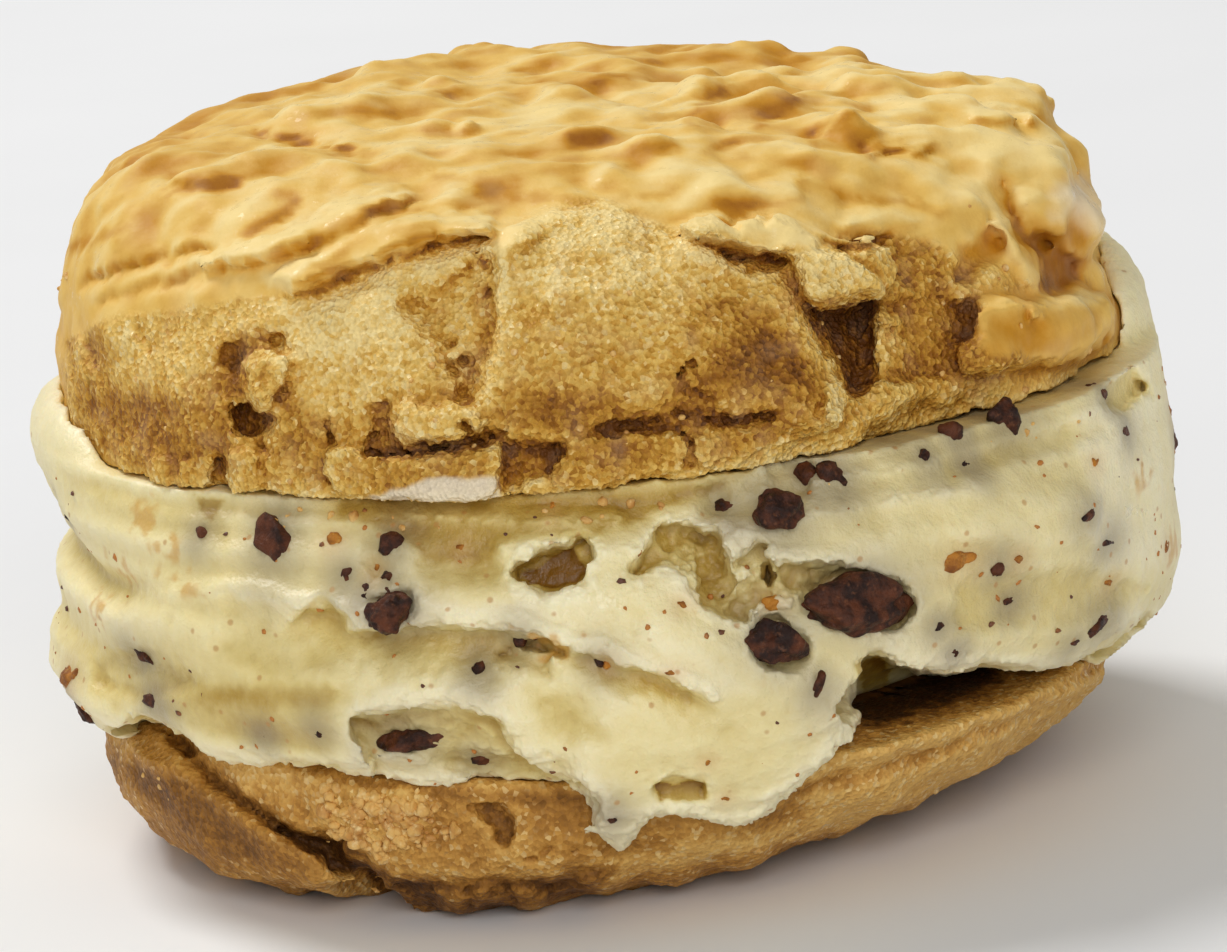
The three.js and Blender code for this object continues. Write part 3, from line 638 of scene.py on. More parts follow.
# The broken front, on the front drawing: raised slabs and lumps, then pits, cracks and holes.
FRONT_STROKES = [
    area(-0.7, 1.2, [  # broken central block
        (500, 250), (512, 240), (529, 222), (548, 213), (570, 208), (600, 207), (623, 210), (652, 226),
        (693, 242), (731, 264), (781, 276), (800, 296), (806, 330), (815, 355), (824, 385), (830, 405),
        (836, 425), (800, 432), (760, 428), (720, 425), (690, 424), (660, 420), (630, 428), (600, 428),
        (575, 436), (530, 441), (500, 437), (479, 426), (473, 408), (481, 388), (490, 362), (494, 330),
        (497, 290)]),
    area(1.1, 1.6, [  # hollow left of the block
        (402, 306), (440, 288), (470, 266), (494, 256), (495, 290), (492, 330), (487, 360), (478, 386),
        (467, 404), (452, 402), (460, 380), (444, 366), (436, 346), (420, 326)]),
    area(0.7, 1.0, [(476, 300), (494, 280), (493, 330), (487, 362), (470, 400), (466, 370), (478, 330)]),
    score(1.2, 0.08, 0.4, [(478, 252), (486, 262), (492, 280), (494, 306), (492, 330)]),
    # pinholes in the hollow
    spot(1.5, 0.25, 449, 343, 4), spot(1.5, 0.25, 455, 372, 5), spot(1.6, 0.3, 466, 360, 6),
    spot(1.2, 0.3, 463, 391, 5),
    area(-1.3, 0.7, [  # lump under the hollow
        (391, 410), (405, 403), (430, 409), (445, 401), (460, 404), (476, 411), (488, 421), (480, 433),
        (462, 440), (440, 445), (410, 444), (395, 433)]),
    # crack over the left slab, with hollows and pinholes
    score(1.5, 0.14, 0.5, [(364, 453), (400, 451), (440, 450), (470, 443), (504, 435)]),
    area(0.5, 1.2, [(362, 448), (440, 444), (504, 424), (504, 444), (440, 454), (364, 458)]),
    area(1.1, 0.8, [(368, 408), (390, 402), (394, 430), (400, 446), (366, 447), (374, 430)]),
    spot(1.6, 0.25, 375, 437, 4), spot(1.2, 0.25, 462, 424, 5), spot(1.2, 0.25, 471, 429, 4),
    area(-1.4, 0.3, [  # left slab
        (326, 449), (345, 446), (362, 457), (400, 456), (440, 453), (470, 446), (500, 444), (503, 470),
        (500, 490), (480, 503), (440, 502), (380, 500), (345, 499), (333, 488), (322, 470)]),
    area(1.3, 0.6, [  # recess between the slabs
        (503, 443), (530, 446), (552, 446), (563, 436), (564, 455), (553, 468), (545, 475), (520, 486),
        (503, 490)]),
    area(-0.9, 0.35, [  # middle slab
        (566, 437), (600, 441), (625, 436), (650, 433), (675, 429), (686, 450), (684, 465), (676, 474),
        (640, 477), (600, 488), (570, 489), (553, 483), (550, 467), (563, 461), (566, 450)]),
    # cracks round the middle slab, and the shelf over it
    score(1.3, 0.12, 0.35, [(677, 424), (688, 438), (684, 452), (690, 472)]),
    score(1.1, 0.16, 0.5, [(600, 431), (640, 425), (660, 414), (676, 407), (690, 415), (740, 420),
        (774, 416)]),
    area(0.5, 1.2, [(598, 420), (640, 412), (672, 398), (740, 410), (776, 408), (776, 420), (700, 424),
        (650, 432), (612, 436)]),
    area(-0.5, 0.35, [  # right slab
        (693, 440), (720, 431), (760, 426), (800, 421), (830, 412), (846, 405), (845, 420), (830, 431),
        (800, 441), (770, 451), (740, 456), (720, 461), (700, 469), (692, 455)]),
    area(-0.9, 0.4, [(822, 386), (834, 379), (846, 398), (844, 420), (831, 431), (824, 410)]),
    # small cracks in the block
    score(0.9, 0.16, 0.3, [(676, 374), (684, 367), (692, 364)]),
    score(0.25, 0.3, 0.8, [(622, 298), (626, 312), (619, 326)]),
    score(0.6, 0.25, 0.5, [(690, 392), (712, 400), (726, 420)]),
    # the side at the left: pits, a lump and a deep hole
    area(1.0, 0.8, [(226, 346), (244, 340), (242, 366), (234, 372), (224, 360)]),
    area(1.3, 0.7, [(256, 333), (286, 333), (285, 356), (272, 347)]),
    area(-1.8, 0.9, [(243, 366), (255, 353), (274, 351), (290, 358), (289, 380), (279, 396), (268, 411),
        (255, 409), (246, 390)]),
    area(2.6, 0.45, [(233, 406), (250, 400), (255, 412), (272, 413), (268, 428), (256, 437), (240, 431)]),
    area(1.0, 0.35, [(250, 440), (265, 438), (262, 452), (252, 452)]),
    # small slabs at the foot, with the gap and cracks between them
    area(-0.5, 0.35, [(150, 457), (170, 460), (176, 480), (170, 498), (154, 494), (150, 475)]),
    area(-0.5, 0.35, [(180, 462), (200, 455), (212, 452), (215, 470), (205, 495), (180, 498)]),
    area(-0.8, 0.35, [(227, 450), (250, 448), (258, 470), (255, 498), (240, 502), (229, 490)]),
    area(1.3, 0.3, [(214, 458), (225, 455), (228, 485), (224, 494), (213, 492)]),
    area(-0.35, 0.35, [(262, 456), (300, 440), (322, 450), (320, 480), (290, 484), (262, 494)]),
    score(1.4, 0.14, 0.3, [(325, 418), (327, 432), (333, 447)]),
    score(0.9, 0.12, 0.25, [(262, 400), (282, 398), (290, 382)]),
    # faint creases at the far left
    score(0.35, 0.3, 1.3, [(95, 338), (99, 372)]), score(-0.4, 0.4, 1.0, [(80, 342), (84, 374)]),
    score(0.4, 0.2, 1.0, [(96, 398), (104, 446)]), score(0.4, 0.3, 0.6, [(140, 330), (150, 352)]),
    area(-1.6, 0.45, [  # finger with torn teeth, pointing right
        (676, 228), (692, 222), (717, 217), (727, 223), (737, 231), (742, 221), (757, 215), (765, 225),
        (772, 214), (790, 221), (806, 232), (830, 246), (856, 262), (880, 278), (884, 290), (873, 299),
        (850, 304), (822, 309), (806, 299), (797, 284), (790, 266), (775, 250), (745, 246), (715, 242),
        (692, 236)]),
    area(-0.9, 0.5, [(800, 254), (830, 250), (856, 264), (880, 278), (884, 290), (873, 299), (850, 304),
        (822, 309), (806, 299)]),
    area(1.2, 0.6, [  # crevice under the teeth
        (692, 238), (715, 244), (745, 250), (775, 252), (793, 256), (788, 266), (760, 270), (735, 265),
        (714, 253), (698, 244)]),
    area(4.8, 1.5, [  # dark gap
        (808, 304), (822, 309), (850, 304), (873, 300), (870, 318), (872, 345), (873, 372), (866, 388),
        (852, 394), (847, 380), (839, 362), (827, 345), (820, 325), (811, 318)]),
    area(0.8, 0.6, [  # piece behind
        (870, 306), (905, 298), (945, 286), (956, 300), (975, 305), (970, 335), (955, 345), (960, 372),
        (925, 380), (922, 392), (895, 398), (870, 395), (873, 372), (870, 345)]),
    area(-0.9, 0.35, [(868, 313), (880, 311), (893, 314), (903, 322), (890, 328), (873, 325)]),
    area(-1.0, 0.4, [(868, 387), (885, 380), (922, 377), (924, 391), (905, 399), (880, 401), (868, 397)]),
    area(-1.9, 0.9, [  # lobe at the right
        (976, 304), (1000, 300), (1035, 301), (1055, 295), (1078, 291), (1100, 294), (1113, 306),
        (1110, 330), (1098, 345), (1078, 357), (1060, 364), (1020, 368), (985, 372), (962, 372),
        (955, 350), (976, 335)]),
    area(-0.4, 0.25, [(1030, 309), (1042, 311), (1044, 323), (1033, 320)]),
    area(1.0, 1.0, [  # hollows above the lobe
        (952, 282), (950, 270), (958, 247), (975, 242), (990, 233), (1003, 236), (1004, 250), (990, 262),
        (975, 272), (965, 283)]),
    area(1.0, 0.8, [(1022, 236), (1040, 235), (1056, 244), (1045, 252), (1028, 248)]),
    area(0.8, 1.4, [(1046, 254), (1064, 252), (1082, 264), (1078, 280), (1060, 289), (1040, 291),
        (1052, 275)]),
    score(-0.7, 0.6, 0.9, [(1003, 222), (1012, 240), (1023, 258), (1031, 276), (1040, 292)]),
    area(-0.9, 2.2, [  # smooth knob
        (1018, 200), (1040, 192), (1075, 192), (1100, 202), (1112, 217), (1105, 240), (1088, 262),
        (1080, 272), (1066, 252), (1050, 238), (1030, 228)]),
    # ridge behind the finger, with its crease and the hollow beside it
    area(-0.5, 1.0, [(850, 212), (880, 208), (912, 212), (924, 220), (905, 228), (888, 236), (865, 232),
        (845, 230)]),
    score(0.8, 0.35, 0.5, [(818, 244), (848, 246), (872, 244), (892, 236)]),
    area(0.5, 0.6, [(895, 245), (930, 238), (948, 262), (940, 285), (905, 292), (890, 275)]),
]

CRUMB_IN_HOLLOW = lump((-13.9, 35.6, 41.4), (1.05, 1.6, 0.95))
LID_ADD = [  # each with the width of its fillet
    (bar((17, 31.2, 46.8), (37, 33.6, 43.2), 2.0), 0.7),  # finger pointing right
    (lump((72, 33, 44.5), (5, 4.4, 4)), 2),  # smooth knob
    (lump((104, 34, 46.6), (5, 3, 2.6)), 1.2),  # lump on the right rim
    (CRUMB_IN_HOLLOW, 0.2),
]
LID_CUT = [
    (lump((36, 40.6, 31.2), (9, 6, 3.4), 8), 0.8),  # lifted underside
    (lump((89, 42, 38.8), (14, 5, 2.0)), 0.8),  # dent between the knob and the lobe
]

# Cracks and chips round the sides that face away: angle, height, half length, half height, lean.
LID_BACK_CRACKS = [
    (118, 36, 4, 0.8, 12), (134, 41, 3, 1, -20), (150, 35.5, 5, 0.9, -6), (171, 39, 3, 1.2, 25),
    (-168, 34.6, 5, 0.8, 4), (-150, 40, 3.4, 1, -16), (-132, 36, 4, 0.8, 10), (-112, 34.4, 3, 0.9, -8),
    (-95, 38, 2.4, 0.9, 30),
]
CRACK_OUT, CRACK_DEEP, CRACK_EDGE = 0.8, 1.6, 0.5  # how far out their middles lie, half depth, rounding
LID_CUT += [
    (lump((az, LID_RADIUS + CRACK_OUT, z), (long, CRACK_DEEP, tall), lean), CRACK_EDGE)
    for az, z, long, tall, lean in LID_BACK_CRACKS
]
LID_CORNERS = (-43, -43, 29.5), (43, 43, 56.5)
LID_WAVES = [(4.5, 0.3, 11), (1.7, 0.25, 31)]
LID_UNEVEN = 0.35
LID_TALL = 18.4  # how high the drum of the upper cookie is at its side
LID_DRAWN_DEEP = 8.5  # how deep below the surface the drawing can reach
SIDE_REACH = 9  # distances to a cookie's plain shape are kept up to this

CROWN_DROP = 0.6  # the crown before its mounds, below LID_TOP
CROWN_MIDDLE = -6  # the X of its highest part
CROWN_LEAN, CROWN_DOME, CROWN_PITCH = 0.045, 0.0012, 0.02  # fall to the right, fall outward, rise to the back
MOUND_PLANE = 1.5  # mounds are placed where lines of sight meet this depth below LID_TOP
MOUND_BELOW = 5  # a mound's top shows this far above its middle on the drawing
MOUND_HEIGHT, MOUND_STEEP, MOUND_FRONT = 0.8, 1.3, 0.6  # share of height, steepness, depth of the front side
FORK_ROWS, FORK_DEPTH = 9, 0.14  # length and height of the faint rows left by the fork


def on_crown(u, v):
    """Where a point of the front drawing falls on the crown."""
    line = RIGHT * ((u - SHEET[0] / 2) / SCALE) + UP * ((SHEET[1] / 2 - v) / SCALE) - BACK * AWAY
    eye = AIM + BACK * AWAY
    x, y, _ = eye + line * ((LID_TOP - MOUND_PLANE - eye[2]) / line[2])
    return x, y


def crown_height(x, y):
    """Height of the fork-marked crown: a leaning dome with its mounds."""
    h = LID_TOP - CROWN_DROP - CROWN_LEAN * (x - CROWN_MIDDLE)
    h = h - CROWN_DOME * (x * x + y * y) + CROWN_PITCH * y
    h = h - 0.9 * step(-x, 14, 28) * step(y, -12, 10)  # sunk at the left
    h = h + 0.5 * step(y, 8, 24) * bell(x - CROWN_MIDDLE, 14)  # raised at the back
    mounds = [(*on_crown(u, v + MOUND_BELOW), wide / SCALE, deep, up) for u, v, wide, deep, up in MOUNDS]
    for mx, my, wx, wy, up in LID_MARKS + mounds:
        deep = np.where(y < my, MOUND_FRONT * wy, wy)
        away = ((x - mx) / wx) ** 2 + ((y - my) / deep) ** 2
        h = h + MOUND_HEIGHT * up * np.exp(-(away**MOUND_STEEP))
    rows = np.sin(2 * math.pi * (x + 0.22 * y) / FORK_PITCH) * np.sin(math.pi * (y - 0.1 * x) / FORK_ROWS)
    return h + FORK_DEPTH * rows


def drum(clay, radius, rise, tall, n, m):
    """Distance to a rounded drum: (out ** n + rise ** m) is 1 on its surface."""
    out = clay.r / radius
    fill = out**n + rise**m
    slope = np.hypot(n * out ** (n - 1) / radius, m * rise ** (m - 1) / tall) + 1e-6
    return np.clip((fill - 1) / slope, -SIDE_REACH, SIDE_REACH).astype(np.float32)


def lid_crumb(az, z):
    """1 where the skin is broken off and 0 on baked skin."""
    return step(follow(CRUST_EDGE, az) - z, -0.7, 0.9) * follow(CRUMB_SHARE, az)


def lid_roughness(clay):
    """Crags on the broken side, deepest low down, and ripples in the skin, deepest at the right."""
    crumb = lid_crumb(clay.az, clay.z + 0.8 * clay.rough(2.4, 41))
    crag = 0.55 + 0.45 * step(38.5 - clay.z, -1.5, 2)
    lumpy = crag * (0.35 * clay.rough(3.6, 51) + 0.35 * clay.rough(1.5, 61))
    rugged = 1 + 0.7 * step(clay.x, 4, 18)
    skin = 0.4 * clay.rough(3.6, 71) + rugged * (0.34 * clay.rough(2.0, 81) + 0.12 * clay.rough(1.0, 85))
    return crumb * lumpy, (1 - crumb) * skin


def make_lid():
    """The clay of the upper cookie."""
    clay = Clay(*LID_CORNERS, LID_WAVES)
    az = clay.az
    radius = LID_RADIUS + follow(LID_WAIST, az) + LID_UNEVEN * uneven(clay.x, clay.y, clay.z)
    rise = np.maximum(0, clay.z - LID_BASE + 0.001) / (crown_height(*clay.bent[:2]) - LID_BASE)
    clay.d = drum(clay, radius, rise, LID_TALL, follow(LID_EDGE, az), follow(LID_SHOULDER, az))
    clay.add(LID_ADD)
    clay.draw(CROWN_STROKES + FRONT_STROKES, LID_DRAWN_DEEP)
    clay.cut(LID_CUT)
    crags, ripples = lid_roughness(clay)
    clay.d = clay.d + crags + ripples
    hem = LID_BASE + step(clay.r, 34.5, 36.5) * (0.1 + 0.4 * np.abs(clay.rough(2, 91)))
    clay.d = np.maximum(clay.d, hem - clay.z).astype(np.float32)
    return clay


LID_CROWN_FROM = 43  # the height where the crown begins
CRUMB_SEEN = (-50, 60)  # angles where the broken crumb is worked most finely
# How brown the cookie is, with painted shade in creases, cracks, recesses and gaps and painted light in
# places, on the front drawing: darker above 0 and paler below.
LID_BAKE_AND_SHADE = [score(0.9 * dark, thick, 1.0, points) for points, thick, dark in CROWN_PAINTED_SHADE]
LID_BAKE_AND_SHADE += [
    # the two long ridges at the left, with painted shade on their faces
    area(0.4, 0.8, [(230, 262), (280, 240), (330, 218), (385, 194), (408, 200), (384, 212), (340, 232),
        (296, 250), (240, 268)]),
    area(0.5, 0.8, [(286, 280), (312, 260), (348, 238), (384, 224), (427, 219), (480, 224), (488, 231),
        (438, 239), (384, 257), (334, 279), (296, 290)]),
    # the broken side, from left to right: browning and painted shade, darker low down
    area(0.3, 2.5, [(75, 400), (110, 390), (200, 395), (240, 420), (225, 470), (160, 480), (100, 462)]),
    area(0.3, 2.0, [(215, 335), (250, 330), (300, 400), (330, 440), (330, 490), (230, 495), (220, 440)]),
    area(-0.2, 1.5, [(410, 310), (490, 290), (490, 400), (450, 390)]),
    area(0.42, 2.6, [(505, 400), (560, 385), (640, 395), (700, 370), (760, 330), (800, 340), (826, 400),
        (780, 425), (600, 440), (510, 440)]),
    area(0.25, 2.0, [(700, 300), (790, 310), (815, 380), (700, 400), (660, 370)]),
    # painted shade on the slabs, in the cracks over them and in the recess between them
    area(0.35, 0.8, [(326, 456), (500, 450), (502, 490), (380, 500), (340, 495)]),
    area(0.45, 1.0, [(550, 446), (680, 436), (830, 415), (845, 425), (700, 468), (600, 488), (550, 484)]),
    area(0.3, 0.8, [(366, 446), (440, 446), (500, 430), (504, 444), (440, 456), (366, 458)]),
    area(0.25, 0.9, [(600, 424), (672, 404), (774, 412), (774, 420), (676, 430), (612, 438)]),
    area(0.45, 0.8, [(503, 442), (560, 440), (552, 470), (503, 490)]),
    # the piece behind, painted shade in the dark gap, and the lobe darker with browning and painted shade
    area(0.18, 1.6, [(865, 290), (950, 285), (960, 372), (925, 398), (870, 398)]),
    area(0.1, 1.5, [(870, 250), (945, 245), (950, 290), (880, 300)]),
    area(0.6, 0.9, [(808, 300), (872, 296), (872, 390), (848, 396), (838, 370), (815, 330)]),
    area(0.65, 1.5, [(955, 305), (1035, 300), (1112, 300), (1110, 340), (1070, 366), (960, 374)]),
    # the finger, painted shade in the crevice under it, and the knob and the hollows beside it darker with
    # browning and painted shade
    area(0.02, 1.0, [(700, 222), (730, 224), (772, 216), (830, 240), (886, 284), (860, 296), (812, 290),
        (760, 244)]),
    area(0.3, 0.8, [(690, 228), (730, 230), (790, 244), (792, 264), (740, 264), (705, 247)]),
    area(0.45, 1.6, [(1010, 215), (1090, 230), (1082, 280), (1040, 290), (1010, 240)]),
    area(0.25, 1.2, [(950, 284), (958, 246), (1000, 234), (1004, 252), (968, 284)]),
    area(0.45, 1.4, [(1022, 236), (1056, 242), (1084, 262), (1074, 290), (1040, 292), (1050, 262),
        (1026, 250)]),
    # paler places with painted light, at the top of the broken side, then on the crown
    area(-0.16, 2.5, [(510, 230), (600, 210), (700, 245), (790, 280), (700, 300), (520, 300)]),
    area(-0.5, 2.5, [(280, 300), (334, 284), (400, 262), (480, 240), (470, 280), (410, 320), (380, 350),
        (280, 355)]),
    area(-0.3, 2.0, [(290, 350), (400, 320), (440, 370), (400, 400), (330, 420), (295, 390)]),
    area(-0.3, 2.5, [(110, 320), (215, 306), (280, 300), (220, 350), (180, 390), (110, 380)]),
    area(-0.15, 2.0, [(800, 230), (870, 262), (860, 280), (810, 282)]),
    area(-0.2, 3.5, [(840, 60), (1010, 84), (1080, 150), (1060, 190), (960, 180), (900, 150), (840, 100)]),
    area(-0.2, 2.5, [(380, 150), (560, 90), (700, 60), (760, 90), (650, 110), (470, 150)]),
    area(-0.2, 1.2, [(630, 195), (670, 200), (700, 205), (670, 218), (640, 212)]),
]
CRUMB_DRAWN = [  # broken crumb above the edge of the skin, on the front drawing
    area(0.7, 1.0, [(676, 228), (692, 220), (727, 220), (757, 213), (772, 212), (806, 230), (856, 260),
        (886, 290), (850, 306), (806, 300), (790, 266), (745, 248), (692, 238)]),
    area(0.9, 1.2, [(66, 340), (120, 316), (215, 304), (290, 293), (334, 281), (384, 260), (438, 242),
        (492, 232), (500, 262), (470, 300), (380, 330), (300, 430), (200, 500), (120, 480), (70, 420)]),
    area(-0.7, 1.5, [(985, 296), (1060, 290), (1116, 290), (1116, 330), (1080, 356), (985, 352), (975, 330)]),
    area(-0.6, 1.2, [(690, 222), (730, 224), (772, 214), (830, 244), (886, 278), (886, 292), (850, 306),
        (815, 304), (790, 262), (740, 240)]),
    area(0.5, 2.0, [(500, 260), (520, 226), (560, 204), (620, 204), (680, 232), (760, 262), (700, 290),
        (560, 290)]),
]
LID_FILM = [  # melted ice cream dried on the cookie, on the front drawing
    area(1.0, 0.5, [(368, 500), (385, 490), (420, 483), (450, 478), (500, 476), (502, 500), (480, 506),
        (400, 504)]),
    area(0.75, 2.2, [(1050, 195), (1080, 178), (1108, 205), (1104, 235), (1085, 225)]),
    area(0.35, 1.0, [(1045, 210), (1065, 212), (1062, 226), (1050, 222)]),
]


def seen_from_front(p, n, strokes):
    """The drawn strokes at points of a surface, only where it faces the viewer."""
    return drawn(*ragged_sheet(p), strokes) * step(n @ BACK, 0, FACING)


def front_of_mounds(p, n):
    """How far a bulge on a crown turns to the front right, leaving out the roundness of the whole."""
    out = np.hypot(p[:, 0], p[:, 1])
    broad = 0.9 * step(out, 18, 38) / np.maximum(out, 1)
    return 0.45 * (n[:, 0] - broad * p[:, 0]) - 0.9 * (n[:, 1] - broad * p[:, 1])


def browning_and_shade(clay, p, n, crown_from, strokes, seed):
    """How browned the cookie is at points, from pale 0 to dark 1, with painted shade added: darker in hollows
    and pits and, above crown_from, on the front sides of the bulges. The strokes add browning, painted shade
    and painted light."""
    # painted shade: darker in hollows and pits
    hollow = np.clip(0.5 - clay.ridge(p, 2.2), -0.25, 0.3)
    pit = np.clip(0.5 - clay.ridge(p, 0.8), -0.3, 0.4)
    crown = step(p[:, 2], crown_from, crown_from + 3)
    # painted shade on the front sides of the crown's bulges
    value = 0.36 + 0.5 * hollow + 0.35 * pit + crown * (np.clip(front_of_mounds(p, n), -0.1, 0.5) - 0.1)
    return value + 0.12 * layered(p, 9, seed) + 0.62 * seen_from_front(p, n, strokes)


def raise_by(p, n, relief, whole, ends, border):
    """Moves points out along their directions, and keeps refined edges closed where they border
    on squares that stay whole."""
    p = p + n * relief[:, None]
    p[whole : whole + len(ends)][border] = p[ends[border]].mean(axis=1)
    return p


def lid_relief(p, crumb, grain, fine):
    """How far the crumb and the skin stand out at points of the upper cookie."""
    relief = crumb * (0.17 * grain + 0.2 * fine + 0.1 * noise(p, 0.45, 7) - 0.17)
    pocks = step(grains(p, 1.5, 9), 0.75, 0.95)
    relief += (1 - crumb) * (0.1 * layered(p, 1.5, 8) + 0.02 * noise(p, 0.6, 5) - 0.1 * pocks)
    return relief


def lid_piece(clay):
    p, quads = clay.skin()
    az, r, z = polar(p)
    seen = (az > CRUMB_SEEN[0]) & (az < CRUMB_SEEN[1]) & (lid_crumb(az, z) > 0.3) & (z > LID_BASE + 0.1)
    whole = len(p)
    p, quads, ends, border = refine(p, quads, seen[quads].all(axis=1))
    n = normals(p, quads)
    az, r, z = polar(p)
    hidden = (z < LID_BASE + 0.05) & (r < HIDDEN + 1)
    crumb = lid_crumb(az, z + 0.8 * noise(p, 2.4, 4)) * (1 - hidden)
    shown = seen_from_front(p, n, CRUMB_DRAWN)
    crumb = np.clip(np.maximum(crumb, shown) + 1.4 * np.minimum(shown, 0), 0, 1)
    grain, fine = grains(p, 0.7, 3), grains(p, 0.4, 6)
    film = np.clip(seen_from_front(p, n, LID_FILM) + 0.1 * noise(p, 1.4, 12), 0, 1) * (1 - hidden)
    bake_and_shade = browning_and_shade(clay, p, n, LID_CROWN_FROM, LID_BAKE_AND_SHADE, 17)
    relief = lid_relief(p, crumb, grain, fine) * (1 - hidden) * (1 - 0.7 * film)
    p = raise_by(p, n, relief, whole, ends, border)
    values = {"crumb": crumb, "grain": 0.5 * grain + 0.5 * fine, "film": film, "bake_and_shade": bake_and_shade}
    p, quads, fan = close_flat(p, quads, LID_BASE)
    return build("top_cookie_baked", p, [quads, fan], ("top_cookie",), values)


# ---------- lower cookie ----------
# For each angle: how far the side bulges, how sharply it turns in, how squarely it meets the foot,
# and how high the rim round its flat top stands.
HEEL_WAIST = [(-180, 0), (-90, 0.6), (-50, 0.2), (-20, -0.6), (25, -0.8), (60, -0.4), (90, 0.2), (180, 0)]
HEEL_EDGE = [
    (-180, 8), (-90, 9), (-60, 7), (-40, 6.5), (-24, 9), (0, 6), (25, 3.7), (55, 3.1), (90, 4), (180, 8),
]
HEEL_SHOULDER = [(-180, 3), (-90, 3), (-25, 4), (0, 2.6), (25, 2), (55, 1.8), (90, 2), (180, 3)]
HEEL_RIM = [
    (-180, 0.3), (-90, 0.9), (-50, 1.5), (-20, 0.9), (0, 0.1), (20, -0.1), (60, -0.1), (120, 0),
    (180, 0.3),
]
HEEL_STROKES = [  # the slanted crack, the slab and pits beside it and the torn lip, on the front drawing
    score(1.3, 0.2, 1.2, [(146, 716), (178, 742), (205, 772), (236, 796), (262, 812), (286, 832)]),
    area(1.6, 1.0, [(150, 722), (190, 730), (200, 748), (188, 760), (165, 745)]),
    area(2.8, 1.4, [(278, 830), (300, 838), (340, 836), (342, 852), (366, 858), (380, 880), (352, 876),
        (330, 868), (318, 850)]),
    # the slab under the crack, and the one beside it
    area(-0.7, 1.6, [(118, 740), (140, 722), (172, 750), (205, 784), (245, 812), (280, 834), (318, 856),
        (322, 880), (300, 892), (250, 878), (180, 838), (125, 795)]),
    area(-0.5, 1.2, [(300, 775), (340, 778), (400, 790), (430, 795), (430, 830), (400, 850), (350, 838),
        (310, 815)]),
    # the pit and small cracks in the middle
    area(1.1, 0.6, [(480, 813), (492, 808), (508, 812), (514, 822), (517, 838), (508, 850), (499, 846),
        (497, 828), (484, 824)]),
    score(0.9, 0.25, 0.35, [(472, 812), (486, 807), (502, 809)]),
    score(0.7, 0.2, 0.4, [(530, 862), (544, 852), (556, 848)]),
    score(0.6, 0.2, 0.4, [(506, 868), (516, 872)]),
    # the edge of the foot, with its creases
    score(0.7, 0.4, 0.8, [(400, 884), (455, 884), (500, 880), (545, 882), (600, 870)]),
    score(0.6, 0.1, 0.6, [(432, 888), (436, 914)]), score(0.6, 0.1, 0.6, [(466, 886), (470, 912)]),
    score(0.6, 0.1, 0.6, [(506, 884), (512, 908)]), score(0.6, 0.1, 0.6, [(548, 882), (554, 900)]),
    area(0.6, 1.0, [(370, 860), (400, 880), (440, 900), (420, 912), (385, 896)]),
    # the torn lip at the right
    score(0.55, 0.3, 1.2, [(800, 790), (866, 772), (959, 744), (1028, 716), (1064, 700)]),
    area(-0.5, 0.7, [(770, 790), (833, 757), (903, 738), (982, 714), (1052, 690), (1108, 668),
        (1104, 684), (1020, 712), (950, 738), (860, 764), (800, 782)]),
    score(-0.4, 0.3, 0.5, [(985, 680), (1040, 674), (1108, 650)]),
    spot(0.5, 0.5, 575, 849, 5, 3),
]
HEEL_CUT = [
    (lump((-33.6, 34, 0.7), (2.5, 9, 2.9)), 0.8),  # notch at the foot
    (lump((140, 37.5, 3), (5, 4, 2.4), 15), 1),
    (lump((-140, 38.5, 6), (6, 2.4, 1.4), -12), 1),
]
HEEL_CUT += chain([(96, 38.6, 6), (112, 38.4, 7.6), (124, 38.2, 6.2)], 0.6, 0.6)
# Browning, painted shade and paler places on the lower cookie
HEEL_BAKE_AND_SHADE = [  # darker and paler places, on the front drawing
    # darker over the lower left, and painted shade along the slanted crack and in the notch at its end
    area(0.6, 3.0, [(110, 760), (180, 770), (300, 850), (330, 890), (200, 860)]),
    area(0.35, 1.4, [(150, 722), (200, 742), (290, 820), (345, 840), (370, 875), (320, 870), (240, 805)]),
    area(0.6, 1.0, [(285, 836), (345, 840), (370, 872), (325, 868)]),
    # painted shadow under the ice cream
    area(1.3, 1.6, [(846, 688), (880, 690), (930, 676), (985, 664), (1000, 680), (985, 690), (930, 706),
        (880, 722), (850, 720)]),
    area(0.5, 1.0, [(290, 762), (350, 770), (470, 788), (600, 796), (600, 806), (470, 800), (350, 786),
        (290, 776)]),
    # paler slabs and torn lip
    area(-0.35, 2.5, [(200, 755), (300, 770), (300, 800), (240, 790)]),
    area(-0.25, 2.0, [(320, 780), (430, 790), (430, 850), (380, 860), (330, 830)]),
    area(-0.45, 1.5, [(800, 770), (903, 733), (1052, 690), (1108, 670), (1100, 690), (960, 745), (860, 775)]),
    area(-0.6, 2.0, [(800, 800), (860, 785), (1000, 735), (1090, 690), (1060, 740), (960, 790), (850, 830)]),
    # painted shade on the foot and in the pit, and the pale side over the foot
    area(0.6, 0.8, [(366, 862), (400, 880), (470, 884), (590, 876), (620, 866), (600, 890), (500, 916),
        (430, 920), (380, 904)]),
    area(0.3, 0.8, [(484, 808), (514, 814), (516, 846), (500, 846)]),
    area(-0.5, 1.4, [(600, 860), (760, 830), (860, 800), (860, 826), (760, 850), (620, 880)]),
]
# Where the crumb is laid bare, on the front drawing.
HEEL_PATCH = [
    area(1.0, 2.0, [(318, 784), (350, 780), (400, 790), (430, 795), (425, 830), (390, 850), (345, 840),
        (325, 812)]),
]

HEEL_CORNERS = (-42, -42, -2), (42, 42, 15)
HEEL_WAVES = [(4.5, 0.3, 13), (1.7, 0.22, 33)]
HEEL_UNEVEN = 0.4
HEEL_RIDGE, HEEL_ROWS = 0.4, 7  # height and length of the ridges that the fork left underneath
HEEL_TALL = 11  # how high the drum of the lower cookie is at its side
HEEL_DRAWN_DEEP = 13  # how deep below the surface the drawing can reach


